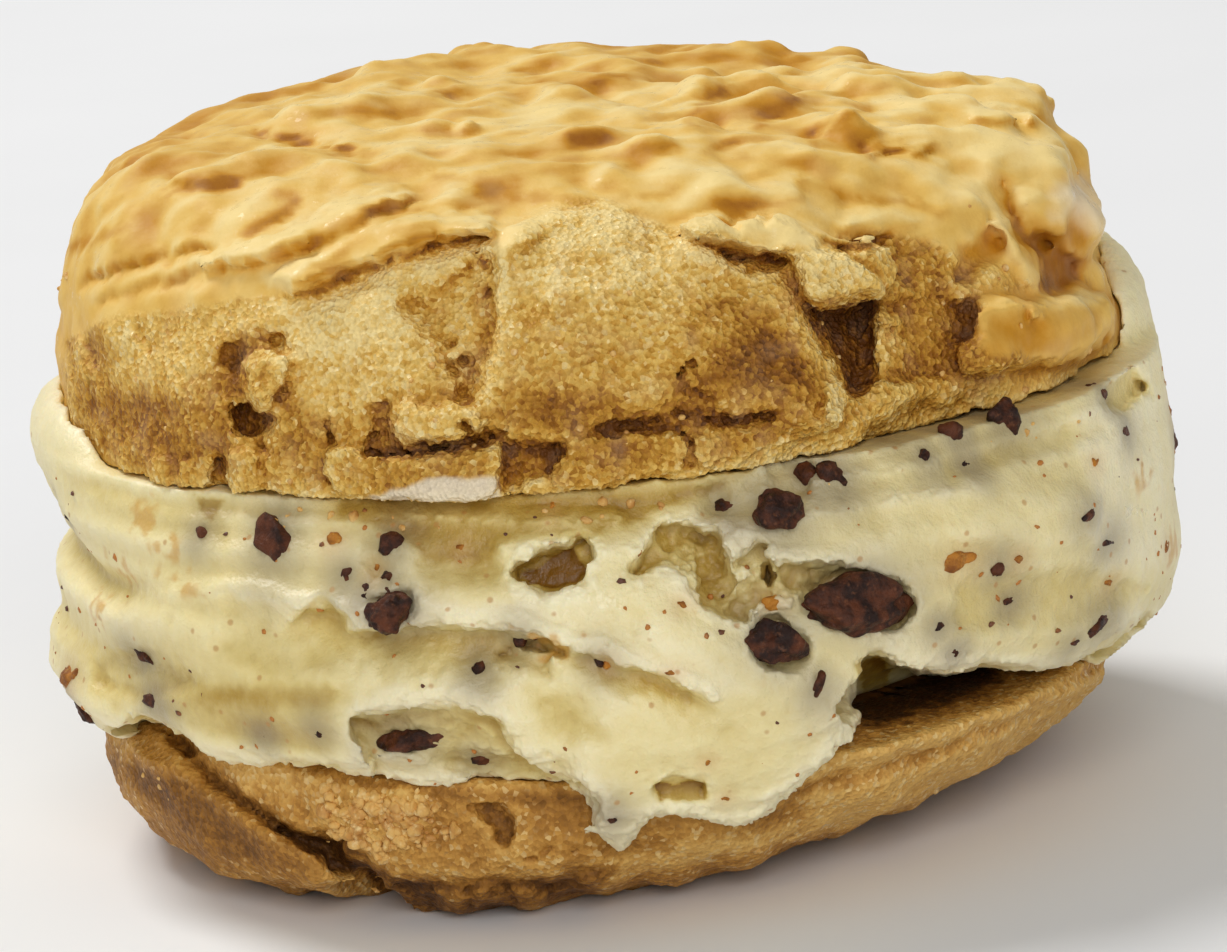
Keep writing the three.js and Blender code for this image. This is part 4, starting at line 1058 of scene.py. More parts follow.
def make_heel():
    """The clay of the lower cookie."""
    clay = Clay(*HEEL_CORNERS, HEEL_WAVES)
    x, y, z = clay.x, clay.y, clay.z
    az, r = clay.az, clay.r
    radius = HEEL_RADIUS + follow(HEEL_WAIST, az) + HEEL_UNEVEN * uneven(x + 40, y, z)
    ridges = np.sin(2 * math.pi * (x + 0.15 * y) / FORK_PITCH) * np.sin(math.pi * (y - 0.1 * x) / HEEL_ROWS)
    ridges = ridges + 0.35 * clay.rough(6, 23)
    depth = HEEL_TOP + 0.5 + HEEL_RIDGE * ridges * step(r, FOOT_RADIUS + 1, FOOT_RADIUS + 5)
    sink = np.maximum(0, HEEL_TOP - z + 0.001) / depth
    clay.d = drum(clay, radius, sink, HEEL_TALL, follow(HEEL_EDGE, az), follow(HEEL_SHOULDER, az))
    clay.draw(HEEL_STROKES, HEEL_DRAWN_DEEP)
    clay.cut(HEEL_CUT)
    clay.d = clay.d + 0.26 * clay.rough(3, 53) + 0.2 * clay.rough(1.5, 63)
    face = HEEL_TOP + follow(HEEL_RIM, az) * step(r, 33, 35.5) * (1 - step(r, 36.4, 38.4))
    clay.d = np.maximum(clay.d, np.maximum(z - face, -z)).astype(np.float32)
    return clay


NO_CROWN = 99  # a height that nothing reaches
BARED = (16, 62), 27  # angles and radius of the top that the gap in the ice cream lays bare


def heel_piece(clay):
    p, quads = clay.skin()
    n = normals(p, quads)
    az, r, z = polar(p)
    (first, last), inner = BARED
    bared = (az > first) & (az < last) & (r > inner)
    still = ((z > HEEL_TOP - 0.05) & (r < HIDDEN + 1) & ~bared) | (z < 0.05)
    rim = step(z, 9.4, 10.6) * step(az, 15, 20)
    crumb = np.clip(seen_from_front(p, n, HEEL_PATCH) + 0.25 * noise(p, 1.6, 14), 0, 1)
    crumb = np.maximum(crumb, np.maximum(0.6, 0.8 * rim)) * (1 - still)
    grain, fine = grains(p, 1.0, 13), grains(p, 0.6, 16)
    bake_and_shade = browning_and_shade(clay, p, n, NO_CROWN, HEEL_BAKE_AND_SHADE, 27)
    pocks = step(grains(p, 1.7, 19), 0.7, 0.95)
    relief = crumb * (0.2 * grain + 0.14 * fine - 0.14) + 0.08 * layered(p, 1.5, 18) - 0.12 * pocks
    p = p + n * (relief * (1 - still))[:, None]
    values = {"crumb": crumb, "grain": 0.5 * grain + 0.5 * fine, "film": 0 * grain, "bake_and_shade": bake_and_shade}
    p, quads, fan = close_flat(p, quads, HEEL_TOP)
    return build("bottom_cookie_baked", p, [quads, fan], ("bottom_cookie",), values)


# ---------- ice cream ----------
FILL_FRONT = [  # height, and how far out the ice cream reaches there, on each side
    (9, 37), (10.9, 38), (12.5, 39), (15, 41), (18, 42.2), (22, 42.2), (25, 41.8), (28, 40.2), (30, 38.4),
    (31.3, 36.8),
]
FILL_LEFT = [
    (9, 35.5), (10.2, 37.8), (12.4, 40.3), (14.6, 41.6), (17, 41), (19.1, 40), (22.1, 40.4), (24.1, 38.3),
    (26.5, 39.6), (28.4, 40.5), (31.3, 40.9),
]
FILL_RIGHT = [
    (9, 36), (10, 38), (11.4, 40.4), (13.4, 42.2), (16.7, 43), (22.1, 43.1), (30.5, 42.6), (31.3, 42.5),
]
FILL_BACK = [(9, 34), (11, 37), (14, 41), (18, 42), (22, 41.2), (26, 41.8), (29, 40.6), (31.3, 37.6)]
# The same for the tongue that hangs over the lower cookie.
TONGUE = [(7, 38.4), (8.4, 39.8), (10, 40.8), (12.5, 41.6), (15, 42.1), (20, 42.3), (24, 42.4)]

# The lower edge of the ice cream on the front drawing. Below it the lower cookie shows.
HEM = [
    (96, 742), (118, 728), (140, 716), (165, 724), (190, 738), (204, 752), (235, 762), (265, 768),
    (290, 762), (312, 764), (340, 768), (352, 772), (380, 776), (420, 788), (440, 792), (462, 788),
    (478, 780), (500, 787), (530, 793), (560, 794), (583, 795), (590, 806), (592, 822), (600, 836),
    (612, 846), (621, 851), (629, 848), (636, 836), (645, 824), (660, 817), (675, 815), (690, 817),
    (706, 822), (722, 827), (744, 827), (756, 822), (768, 814), (780, 802), (796, 788), (806, 776),
    (820, 765), (830, 758), (832, 748), (846, 741), (856, 730), (856, 716), (848, 704), (852, 690),
    (852, 672), (858, 660), (868, 653), (882, 654), (896, 661), (920, 671), (950, 674), (968, 668),
    (982, 663), (1010, 668), (1040, 670), (1075, 662), (1112, 640), (1150, 615),
]
# Torn lips, holes, folds and dents of the front, on the front drawing.
FILL_STROKES = [
    area(2.0, 0.3, [  # recess under the upper lip
        (318, 596), (330, 606), (341, 616), (350, 631), (389, 631), (420, 627), (450, 625), (480, 628),
        (513, 631), (540, 637), (560, 680), (480, 720), (400, 730), (320, 730), (280, 700),
        (270, 640)], 10, 4.8, (1.5, 2.5)),
    area(1.2, 0.3, [
        (513, 631), (540, 636), (560, 645), (572, 650), (600, 657), (637, 668), (665, 679), (699, 695),
        (716, 704), (730, 715), (735, 770), (660, 760), (600, 740), (540, 710),
        (490, 680)], 10, 3.2, (2, 5)),
    # the swollen upper lip, with a small hole
    area(-0.5, 0.9, [(330, 600), (360, 608), (440, 606), (520, 612), (600, 638), (670, 665), (716, 690),
        (716, 702), (665, 679), (600, 657), (513, 630), (444, 625), (352, 630)]),
    area(1.3, 0.25, [(519, 640), (532, 636), (548, 637), (562, 643), (573, 648), (562, 656), (545, 652),
        (528, 650)]),
    area(1.9, 0.25, [  # torn face under the lower lip
        (346, 722), (356, 717), (377, 711), (400, 710), (412, 706), (440, 702), (462, 708), (480, 712),
        (493, 713), (500, 724), (504, 738), (516, 749), (538, 766), (552, 774), (563, 779), (582, 779),
        (600, 800), (600, 830), (420, 820), (380, 790), (366, 760), (355, 735)]),
    # swellings on the torn face and the lower lip, the dent beside them and a pit
    area(-0.7, 0.7, [(372, 752), (400, 750), (430, 757), (470, 776), (470, 800), (420, 800), (385, 785)]),
    area(-0.4, 1.6, [(352, 700), (420, 688), (500, 695), (505, 710), (440, 700), (377, 709), (352, 716)]),
    area(1.2, 3.4, [(532, 692), (556, 684), (576, 692), (590, 712), (598, 736), (578, 740), (550, 726),
        (536, 708)]),
    area(1.0, 0.3, [(650, 786), (660, 779), (680, 776), (704, 777), (707, 798), (690, 802),
        (660, 798)], 4, 2.2),
    area(3.2, 0.25, [  # eye-shaped hole
        (512, 576), (516, 566), (526, 562), (533, 555), (548, 548), (562, 546), (572, 544), (578, 537),
        (590, 536), (596, 545), (595, 556), (588, 566), (590, 574), (580, 583), (562, 591), (545, 592),
        (528, 588), (514, 582)]),
    area(-0.5, 0.8, [(574, 545), (592, 536), (598, 550), (590, 566), (578, 560)]),
    area(2.2, 0.3, [  # torn hollow
        (630, 575), (636, 566), (640, 556), (648, 546), (652, 531), (662, 527), (690, 527), (704, 531),
        (716, 531), (721, 546), (726, 560), (734, 563), (742, 554), (756, 543), (766, 545), (764, 556),
        (772, 565), (776, 580), (770, 592), (758, 604), (748, 612), (745, 622), (728, 616), (712, 609),
        (700, 601), (692, 586), (678, 570), (664, 563), (650, 568), (641, 577)]),
    area(1.2, 0.9, [(655, 532), (700, 532), (718, 545), (724, 565), (735, 585), (720, 602), (704, 590),
        (690, 560), (662, 550)]),
    area(2.0, 0.3, [  # recess holding the largest chunk
        (766, 562), (800, 567), (846, 566), (868, 573), (900, 585), (914, 602), (914, 620), (896, 632),
        (870, 630), (848, 625), (815, 630), (795, 636), (778, 628), (752, 622), (758, 606),
        (770, 590)], 6, 6),
    area(1.3, 0.5, [(752, 625), (775, 615), (805, 640), (812, 655), (795, 672), (765, 668), (754, 650)]),
    # small dents
    area(0.9, 0.6, [(372, 598), (412, 592), (416, 610), (404, 628), (380, 628)]),
    area(0.7, 1.0, [(366, 540), (386, 540), (392, 570), (376, 580), (364, 560)]),
    area(1.2, 0.9, [(765, 462), (800, 448), (815, 470), (800, 500), (775, 500)]),
    area(0.8, 1.4, [(620, 505), (760, 488), (760, 515), (700, 524), (630, 524)]),  # hollows under the lid
    area(0.7, 2.2, [(420, 545), (500, 535), (505, 570), (430, 590)]),
    area(0.8, 1.6, [(700, 490), (725, 485), (725, 515), (706, 520)]),
    # swellings and hollows of the rest
    area(-0.5, 2.0, [(640, 600), (740, 640), (830, 680), (840, 720), (780, 760), (720, 720), (640, 640)]),
    area(0.6, 2.2, [(230, 600), (300, 610), (320, 660), (270, 680), (220, 650)]),
    area(0.7, 1.4, [(90, 660), (150, 650), (200, 680), (150, 700), (100, 690)]),
    area(-0.6, 1.6, [(140, 590), (240, 580), (320, 600), (300, 625), (200, 625), (130, 620)]),
    area(0.6, 1.2, [(940, 460), (1010, 440), (1100, 420), (1110, 436), (1010, 462), (950, 478)]),
    area(-0.5, 1.6, [(880, 490), (1000, 480), (1100, 500), (1100, 540), (1000, 545), (890, 535)]),
    area(0.6, 1.6, [(950, 580), (1080, 570), (1140, 590), (1080, 625), (960, 625)]),
    area(1.0, 0.7, [(1100, 385), (1135, 372), (1150, 392), (1120, 412), (1100, 405)]),
]
TORN = [  # where the ice cream tore off roughly
    area(1, 0.6, [(650, 530), (716, 530), (735, 560), (800, 566), (860, 568), (820, 600), (780, 612),
        (740, 620), (700, 600), (670, 566)]),
    area(0.5, 0.6, [(350, 724), (440, 706), (500, 718), (540, 768), (590, 786), (500, 786), (420, 748)]),
]
FILL_ADD = [(lump((20.4, 41, 17.2), (3, 1.8, 2.4)), 0.8)]  # swelling above the tongue's right side
FILL_CUT = [
    (lump((-43, 41.4, 31.4), (5, 2.4, 1.4)), 0.8),
    (lump((-60, 42.6, 27), (5, 1.8, 1.2), 18), 0.8),
    (lump((29, 38, 14.8), (6.5, 8, 2.6), -9), 0.4),  # open gap above the lower cookie
    (lump((150, 43.4, 22), (9, 2.6, 1.6), 10), 1.2),
    (lump((-150, 43, 16), (7, 2.2, 1.6), -8), 1.2),
]
DRIP_IN_GAP = [(lump((25.4, 35.4, 16.6), (1.9, 1.6, 1.5), -10), 0.3)]
# Ice cream pressed up beside the upper cookie: angle, radius and height, then half sizes in degrees and mm.
COLLARS = [((107, 39.6, 32.2), (28.5, 3, 5.5)), ((-86, 38.6, 31.6), (22, 2.6, 3.4))]

FILL_CORNERS = (-46, -46, 5), (46, 46, 39.5)
FILL_WAVES = [(4, 0.25, 15), (1.3, 0.2, 35), (0.7, 0.12, 38)]
FILL_FLOOR, TONGUE_DROP = 9.0, 3.4  # where the ice cream ends below, and how much lower it hangs in front
FILL_DRAWN_DEEP, HEM_DRAWN_DEEP = 6, 13  # how deep below the surface the drawing can reach
HEM_CUT = 12  # how much is taken off below the hem
FILL_UNEVEN = 0.3
COLLAR_JOIN = 0.8


def fill_radius(az, z):
    """How far out the ice cream reaches, going over from side to side."""
    left, right = bell(turn(az, -88), 42), bell(turn(az, 88), 46)
    front, back = bell(az, 52), bell(turn(az, 180), 52)
    r = left * follow(FILL_LEFT, z) + right * follow(FILL_RIGHT, z)
    r = (r + front * follow(FILL_FRONT, z) + back * follow(FILL_BACK, z)) / (left + right + front + back)
    tongue = step(az, -6, -3) * (1 - step(az, 20, 25)) * (1 - step(z, 16, 22))
    return r + tongue * (follow(TONGUE, z) - r)


def make_fill(lid, heel):
    """The clay of the ice cream, between the clays of the two cookies."""
    clay = Clay(*FILL_CORNERS, FILL_WAVES)
    x, y, z = clay.x, clay.y, clay.z
    az, r = clay.az, clay.r
    radius = fill_radius(az, z + 0.5 * clay.rough(9, 45))
    clay.d = (r - radius - FILL_UNEVEN * uneven(x, y + 30, z) - 0.22 * clay.rough(5, 47)).astype(np.float32)
    front = step(az, -6, -4) * (1 - step(az, 21, 23))
    clay.draw(FILL_STROKES, FILL_DRAWN_DEEP)
    clay.d = clay.d + (0.35 * clay.rough(1.4, 49) + 0.5 * clay.rough(0.8, 39)) * clay.worn(TORN)
    clay.draw([area(HEM_CUT, 0.3, HEM + [(1160, 960), (60, 960)])], HEM_DRAWN_DEEP)
    clay.d = np.maximum(clay.d, FILL_FLOOR - TONGUE_DROP * front - z)
    clay.add(FILL_ADD)
    clay.cut(FILL_CUT)
    clay.add(DRIP_IN_GAP)
    clay.d = np.maximum(clay.d, z - FILL_TOP)
    for at, half in COLLARS:
        along, out, up = turn(az, at[0]) / half[0], (r - at[1]) / half[1], (z - at[2]) / half[2]
        collar = (np.sqrt(along**2 + out**2 + up**2) - 1) * half[1]
        clay.d = blend(clay.d, collar, COLLAR_JOIN)
    clay.d = clay.d.astype(np.float32)
    for other in (lid, heel):
        clay.keep_clear(other)
    return clay


# Chocolate that shows: angle, height, half width, half height.
BITS = [
    (-20.1, 25.1, 1.6, 1.3), (-21.1, 28.9, 1.0, 1.2), (-21.2, 27.0, 0.6, 0.4), (-25.6, 26.9, 0.5, 0.7),
    (-23.4, 26.0, 0.6, 0.6), (-34.4, 28.6, 1.4, 2.0), (-8.6, 22.3, 0.5, 0.6), (-12.6, 20.5, 0.5, 0.6),
    (-44.3, 28.9, 0.6, 0.6), (19.2, 17.3, 0.6, 1.0), (-14.9, 13.3, 0.7, 0.6), (-1.4, 9.7, 0.5, 0.7),
    (-54.7, 19.6, 1.8, 0.6), (-51.5, 16.4, 1.6, 0.6), (-36.3, 15.3, 0.4, 0.3), (47.8, 31.4, 1.8, 1.4),
    (62.6, 30.9, 1.5, 0.8), (40.4, 31.5, 0.9, 0.9), (35.5, 30.5, 0.5, 0.8), (33.7, 32.4, 0.8, 0.6),
    (40.5, 29.4, 0.7, 0.4), (63.9, 28.0, 1.0, 0.5), (84.6, 23.5, 2.0, 0.7), (32.4, 19.6, 0.6, 0.4),
    (34.0, 17.4, 0.5, 0.4), (39.9, 22.3, 1.0, 0.8), (52.1, 24.1, 1.1, 0.5), (56.4, 21.3, 1.5, 0.5),
    (41.5, 19.8, 0.7, 0.3), (55.6, 15.8, 1.8, 0.7), (50.8, 15.1, 0.7, 0.3), (13.6, 29.5, 0.8, 0.6),
    (-1.0, 20.8, 0.4, 0.5), (-29.2, 16.2, 0.4, 0.4), (25, 30.4, 1.1, 1.3), (22.6, 30.6, 0.9, 0.9),
]
CARAMEL = [  # paler orange-brown bits
    (-27.4, 29.1, 0.7, 0.6), (35.9, 23.5, 1.7, 1.0), (42.6, 22.7, 0.6, 0.6), (57.8, 18.2, 0.9, 0.4),
    (56.3, 27.2, 0.7, 0.5), (71.9, 18.2, 0.9, 0.5), (7.3, 24.2, 0.7, 0.4), (9.9, 9.9, 0.4, 0.3),
    (8.3, 12.9, 0.4, 0.3), (-4.7, 30.6, 0.3, 0.4), (-14.0, 28.5, 0.4, 0.4), (-0.4, 20.6, 0.4, 0.5),
    (5.4, 19.8, 0.7, 0.3), (16.3, 23.2, 0.8, 0.5), (-22.6, 27.3, 0.5, 0.5),
]
STAINS = [  # soft orange patches soaked into the ice cream
    (-58.3, 25, 1.6, 1), (-48.5, 27.4, 1.4, 1.2), (-53, 29.6, 1.6, 0.9), (-44.9, 25.1, 1.1, 0.6),
    (-62.5, 21.6, 1.6, 0.7), (-5.5, 22.1, 2.2, 0.7), (74, 17.6, 2.4, 1), (66, 24.4, 1.4, 0.7),
]
WET = [  # glistening melt, on the front drawing
    area(1.0, 0.8, [(524, 596), (560, 600), (600, 590), (624, 600), (620, 622), (596, 628), (570, 612),
        (530, 604)]),
    area(1.0, 0.4, [(700, 722), (722, 718), (724, 726), (704, 728)]),
    area(1.0, 0.4, [(1120, 500), (1150, 508), (1150, 518), (1122, 514)]),
    area(1.0, 0.4, [(1085, 440), (1110, 420), (1116, 426), (1092, 450)]), spot(0.8, 0.4, 598, 664, 6),
    spot(0.8, 0.4, 645, 632, 22, 5),
]
# Painted shade and painted light on the ice cream: where it is greener and duller (up to +0.5) or whiter
# (down to -0.5) than its own shape makes it.
CREAM_PAINTED_SHADE = [
    # painted shadow under the upper cookie
    area(0.62, 3.4, [(330, 480), (500, 485), (600, 470), (700, 455), (760, 440), (760, 480), (680, 510),
        (600, 540), (420, 550), (330, 520)]),
    area(0.35, 2.0, [(410, 540), (500, 540), (510, 600), (430, 610)]),
    area(0.35, 2.0, [(60, 470), (170, 495), (230, 500), (230, 545), (110, 520)]),
    area(0.45, 0.9, [(192, 494), (230, 494), (212, 520)]),
    area(0.36, 2.5, [(820, 440), (860, 400), (1000, 380), (1110, 350), (1110, 400), (1000, 440), (900, 460)]),
    # painted light on the lips, and painted shade in the recesses under them
    area(-0.25, 1.6, [(350, 585), (520, 600), (600, 600), (700, 650), (750, 690), (720, 700),
        (560, 640), (350, 628)]),
    area(-0.2, 1.6, [(380, 690), (500, 690), (500, 710), (400, 708)]),
    area(0.28, 1.6, [(360, 635), (520, 640), (500, 680), (380, 680)]),
    area(0.3, 1.0, [(355, 722), (440, 705), (500, 718), (540, 770), (590, 786), (500, 780), (420, 745)]),
    # painted shade in the holes and hollows
    area(0.45, 0.5, [(515, 575), (575, 545), (590, 575), (560, 590), (530, 588)]),
    area(0.12, 0.8, [(640, 575), (655, 530), (716, 532), (730, 565), (735, 600), (705, 600), (670, 560)]),
    area(0.15, 0.9, [(760, 565), (900, 580), (925, 600), (800, 600), (765, 590)]),
    area(0.3, 1.0, [(570, 655), (700, 698), (720, 712), (650, 700), (580, 672)]),
    area(0.2, 1.8, [(535, 692), (575, 690), (596, 736), (560, 735)]),
    area(0.8, 0.6, [(652, 782), (704, 778), (706, 796), (660, 798)]),
    # painted shade on the sides and the underside, and painted light at the far right
    area(0.25, 2.2, [(60, 640), (200, 640), (340, 640), (340, 700), (200, 700), (90, 690)]),
    area(-0.5, 2.5, [(1080, 420), (1170, 390), (1176, 560), (1100, 580)]),
    area(0.42, 3.0, [(90, 690), (340, 690), (345, 770), (290, 762), (200, 745), (110, 730)]),
    area(0.2, 2.0, [(930, 580), (1120, 570), (1120, 640), (980, 660)]),
    area(0.5, 0.6, [(855, 660), (880, 655), (898, 668), (885, 692), (860, 695)]),
]
CHUNKS = [  # the chunks that are pieces of their own: angle, height, half sizes, lean
    ("chunk_large", 24.5, 22.3, (4.4, 2.4, 2.0), -6), ("chunk_upper", 17.6, 29.2, (1.9, 1.6, 1.7), 10),
    ("chunk_middle", 15.6, 20.6, (1.9, 1.5, 1.6), -20), ("chunk_left", -20.5, 24.9, (1.6, 1.3, 1.3), 5),
    ("chunk_low", -21.5, 15.2, (2.3, 1.4, 1.2), 0),
]
LARGEST_BIT = 1.5  # half width in millimetres on the hidden sides


def hidden_bits(seed, count):
    """Bits for the sides that face away, spread by a seeded rule."""
    rng = np.random.default_rng(seed)
    out = []
    for az in np.linspace(80, 290, count):
        size = rng.uniform(0.35, 1.0) ** 1.4 * LARGEST_BIT
        out.append((turn(az + rng.uniform(-4, 4), 0), rng.uniform(13, 30), size * rng.uniform(1, 1.6), size))
    return out


CREAM_SEEN = (-24, 38)  # angles where the ice cream is worked most finely
GIRTH = 41.5  # the ice cream's usual radius, for distances round it
SPOT_FAR = 12  # a spot is not felt further than this


def largest_island(p, quads):
    """The surface without its loose scraps."""
    label = islands(quads, len(p))
    quads = quads[label[quads[:, 0]] == np.bincount(label).argmax()]
    kept, quads = np.unique(quads, return_inverse=True)
    return p[kept], quads.reshape(-1, 4)


def near_spots(az, z, spots, reach):
    """1 at the middle of the nearest spot, falling off over its size and reach more."""
    total = np.zeros(len(z))
    for at, height, wide, tall in spots:
        along, up = np.radians(turn(az, at)) * GIRTH, z - height
        close = np.hypot(along, up) < SPOT_FAR
        far = np.hypot(along[close] / (wide + reach), up[close] / (tall + reach))
        total[close] = np.maximum(total[close], bell(far, 1))
    return total


def cream_relief(clay, p, az, wet, torn):
    """How far waves, torn threads and the rough torn face stand out at points."""
    relief = 0.07 * layered(p, 1.8, 22) + 0.05 * layered(p, 0.7, 24)
    relief += wet * 0.12 * layered(p, 0.7, 26)
    edge = step(clay.ridge(p, 0.9), 0.56, 0.76) * step(bell(az, 50), 0.4, 0.6)
    relief += edge * (0.13 * noise(p, 0.6, 31) + 0.13 * noise(p, 0.38, 33))
    relief += torn * (0.34 * grains(p, 0.9, 27) + 0.2 * grains(p, 0.5, 35) + 0.14 * noise(p, 0.6, 29) - 0.3)
    relief += 0.03 * noise(p, 0.4, 37)
    return relief


def fill_piece(clay, dark, pale):
    p, quads = largest_island(*clay.skin())
    az, r, z = polar(p)
    seen = (az > CREAM_SEEN[0]) & (az < CREAM_SEEN[1]) & (r > HIDDEN) & (z < FILL_TOP - 0.4)
    whole = len(p)
    p, quads, ends, border = refine(p, quads, seen[quads].all(axis=1))
    n = normals(p, quads)
    az, r, z = polar(p)
    hidden = ((z > FILL_TOP - 0.4) | (z < HEEL_TOP + 0.2)) & (r < HIDDEN + 1)
    wet, torn = (np.clip(seen_from_front(p, n, strokes), 0, 1) for strokes in (WET, TORN))
    p = raise_by(p, n, cream_relief(clay, p, az, wet, torn) * (1 - hidden), whole, ends, border)
    smoky = noise(p, 3, 28) * 0.25
    values = {
        "halo": np.clip(near_spots(az, z, dark, 1.5) + smoky * near_spots(az, z, dark, 3), 0, 1),
        "stain": step(near_spots(az, z, STAINS, 0.7) + 0.8 * noise(p, 0.7, 30), 0.6, 1.1),
        "tint": near_spots(az, z, pale, 0.5),
        # painted shade and painted light from the drawing
        "shade": np.clip(0.5 + seen_from_front(p, n, CREAM_PAINTED_SHADE) + 0.04 * layered(p, 6, 32), 0, 1),
        "wet": wet,
        "ridge_fine": clay.ridge(p, 0.9),
        "ridge": clay.ridge(p, 2.4),
    }
    p, quads, fan = close_flat(p, quads, HEEL_TOP + TOUCH)
    p, quads, cap = close_flat(p, quads, LID_BASE - TOUCH)
    return build("ice_cream_soft", p, [quads, fan, cap], ("ice_cream",), values)


# ---------- chocolate ----------
def ball(detail):
    """Points and triangles of an evenly divided unit ball."""
    shape = bmesh.new()
    bmesh.ops.create_icosphere(shape, subdivisions=detail, radius=1)
    p = np.array([v.co[:] for v in shape.verts])
    faces = np.array([[v.index for v in f.verts] for f in shape.faces])
    shape.free()
    return p, faces


CHIP_FLAT = 0.66, 0.92  # how near its middle a chip's flat sides lie, as shares of its radius
CHIP_SHAVED = 0.8  # how much is taken off past a flat side
CHUNK_CUTS, BIT_CUTS, SPECK_CUTS, CRUMB_CUTS = 12, 9, 3, 5  # how many flat sides
LARGE_BIT, LARGE_CRUMB = 1.2, 0.4  # bits and crumbs past these half sizes are divided once more


def chip(at, half, lean, seed, detail, cuts):
    """An irregular broken lump with a few flat sides."""
    p, faces = ball(detail)
    rng = np.random.default_rng(seed)
    for _ in range(cuts):
        way = rng.normal(size=3)
        way /= np.linalg.norm(way)
        limit = rng.uniform(*CHIP_FLAT)
        p = p - CHIP_SHAVED * np.maximum(p @ way - limit, 0)[:, None] * way
    crumbly = 0.3 * noise(p, 0.8, seed) + 0.18 * noise(p, 0.4, seed + 1) + 0.08 * noise(p, 0.2, seed + 2)
    p = p * (1 + crumbly)[:, None]
    p = p * np.array(half)
    cl, sl = math.cos(math.radians(lean)), math.sin(math.radians(lean))
    u, h = p[:, 0] * cl - p[:, 2] * sl, p[:, 0] * sl + p[:, 2] * cl
    ca, sa = math.cos(math.radians(at[0])), math.sin(math.radians(at[0]))
    centre = place(*at)
    out = np.stack([u * ca + p[:, 1] * sa, u * sa - p[:, 1] * ca, h], -1)
    return centre + out, faces[:, ::-1]


def gather(chips):
    """Many chips as one list of points and one of triangles."""
    points, faces, start = [], [], 0
    for p, f in chips:
        points.append(p)
        faces.append(f + start)
        start += len(p)
    return np.concatenate(points), np.concatenate(faces)


def bits_piece(name, clay, spots, seed, sunk):
    """Bits at spots of the ice cream, sunk into it by a share of their depth."""
    chips = []
    for k, (az, z, wide, tall) in enumerate(spots):
        r = clay.outer(az, z)
        if r is None:
            continue
        deep = 0.7 * min(wide, tall) + 0.2
        detail = 4 if wide > LARGE_BIT else 3
        lean = 17 * k % 50 - 25
        chips.append(chip((az, r - sunk * deep, z), (wide, deep, tall), lean, seed + k, detail, BIT_CUTS))
    p, faces = gather(chips)
    return build(name, p, [faces])


SPECKS = 360
SPECK_HEIGHTS, SPECK_SIZES = (10, 31), (0.1, 0.26)
SPECK_INNER, CRUMB_INNER = 37, 30  # specks and crumbs lie outside these radii


def specks_piece(clay):
    """Tiny crumbs of chocolate and cookie all over the ice cream."""
    rng = np.random.default_rng(77)
    chips = []
    for k in range(SPECKS):
        az, z = rng.uniform(-180, 180), rng.uniform(*SPECK_HEIGHTS)
        r = clay.outer(az, z)
        if r is None or r < SPECK_INNER:
            continue
        size = rng.uniform(*SPECK_SIZES)
        half = (size * rng.uniform(1, 1.8), size, size)
        chips.append(chip((az, r - 0.3 * size, z), half, rng.uniform(-60, 60), k, 1, SPECK_CUTS))
    p, faces = gather(chips)
    return build("ice_cream_specks", p, [faces])


ALL_ROUND = (-180, 180)
CLUMPS, CRUMBS_IN_CLUMP = 34, 9  # on the broken patch of the lower cookie


def crumb_spots(rng, lid, heel, fill):
    """Where loose crumbs lie: which clay, angle, height and the largest half size there."""

    def strewn(clay, count, angles, heights, largest):
        return [(clay, rng.uniform(*angles), rng.uniform(*heights), largest) for _ in range(count)]

    spots = strewn(lid, 40, (-62, 88), (32, 46), 0.3) + strewn(lid, 25, ALL_ROUND, (32, 44), 0.3)
    for _ in range(CLUMPS):
        at, up = rng.normal(-27, 4), rng.normal(8.6, 1.3)
        spots += [(heel, rng.normal(at, 0.8), rng.normal(up, 0.4), 0.5) for _ in range(CRUMBS_IN_CLUMP)]
    spots += strewn(heel, 40, ALL_ROUND, (3, 10.4), 0.3)
    return spots + strewn(fill, 26, (-50, 60), (29.6, 31), 0.4)


def crumbs_piece(lid, heel, fill):
    """Loose crumbs stuck on the broken cookie and at its edges."""
    rng = np.random.default_rng(99)
    chips = []
    for k, (clay, az, z, largest) in enumerate(crumb_spots(rng, lid, heel, fill)):
        r = clay.outer(az, z)
        if r is None or r < CRUMB_INNER:
            continue
        size = largest * rng.uniform(0.3, 1) ** 1.6
        half = size * rng.uniform(0.7, 1.3, 3)
        out = rng.uniform(-0.4, 0.4) * size
        detail = 3 if size > LARGE_CRUMB else 2
        chips.append(chip((az, r + out, z), half, rng.uniform(-90, 90), k, detail, CRUMB_CUTS))
    p, faces = gather(chips)
    return build("cookie_crumbs", p, [faces])


# ---------- materials ----------
def tone(red, green, blue):
    """A colour given as it looks on a screen, from 0 to 255, as light."""
    shares = (v / 255 for v in (red, green, blue))
    return tuple(((v + 0.055) / 1.055) ** 2.4 if v > 0.04 else v / 12.92 for v in shares) + (1,)


def tones(*colors):
    """Several such colours, from light to dark."""
    return tuple(tone(*color) for color in colors)


# ice cream tones from its pale lit ridges to the painted shade of its hollows
CREAM_LIT_TO_SHADED = tones((250, 238, 196), (240, 224, 166), (220, 198, 126), (184, 150, 64), (128, 86, 12))
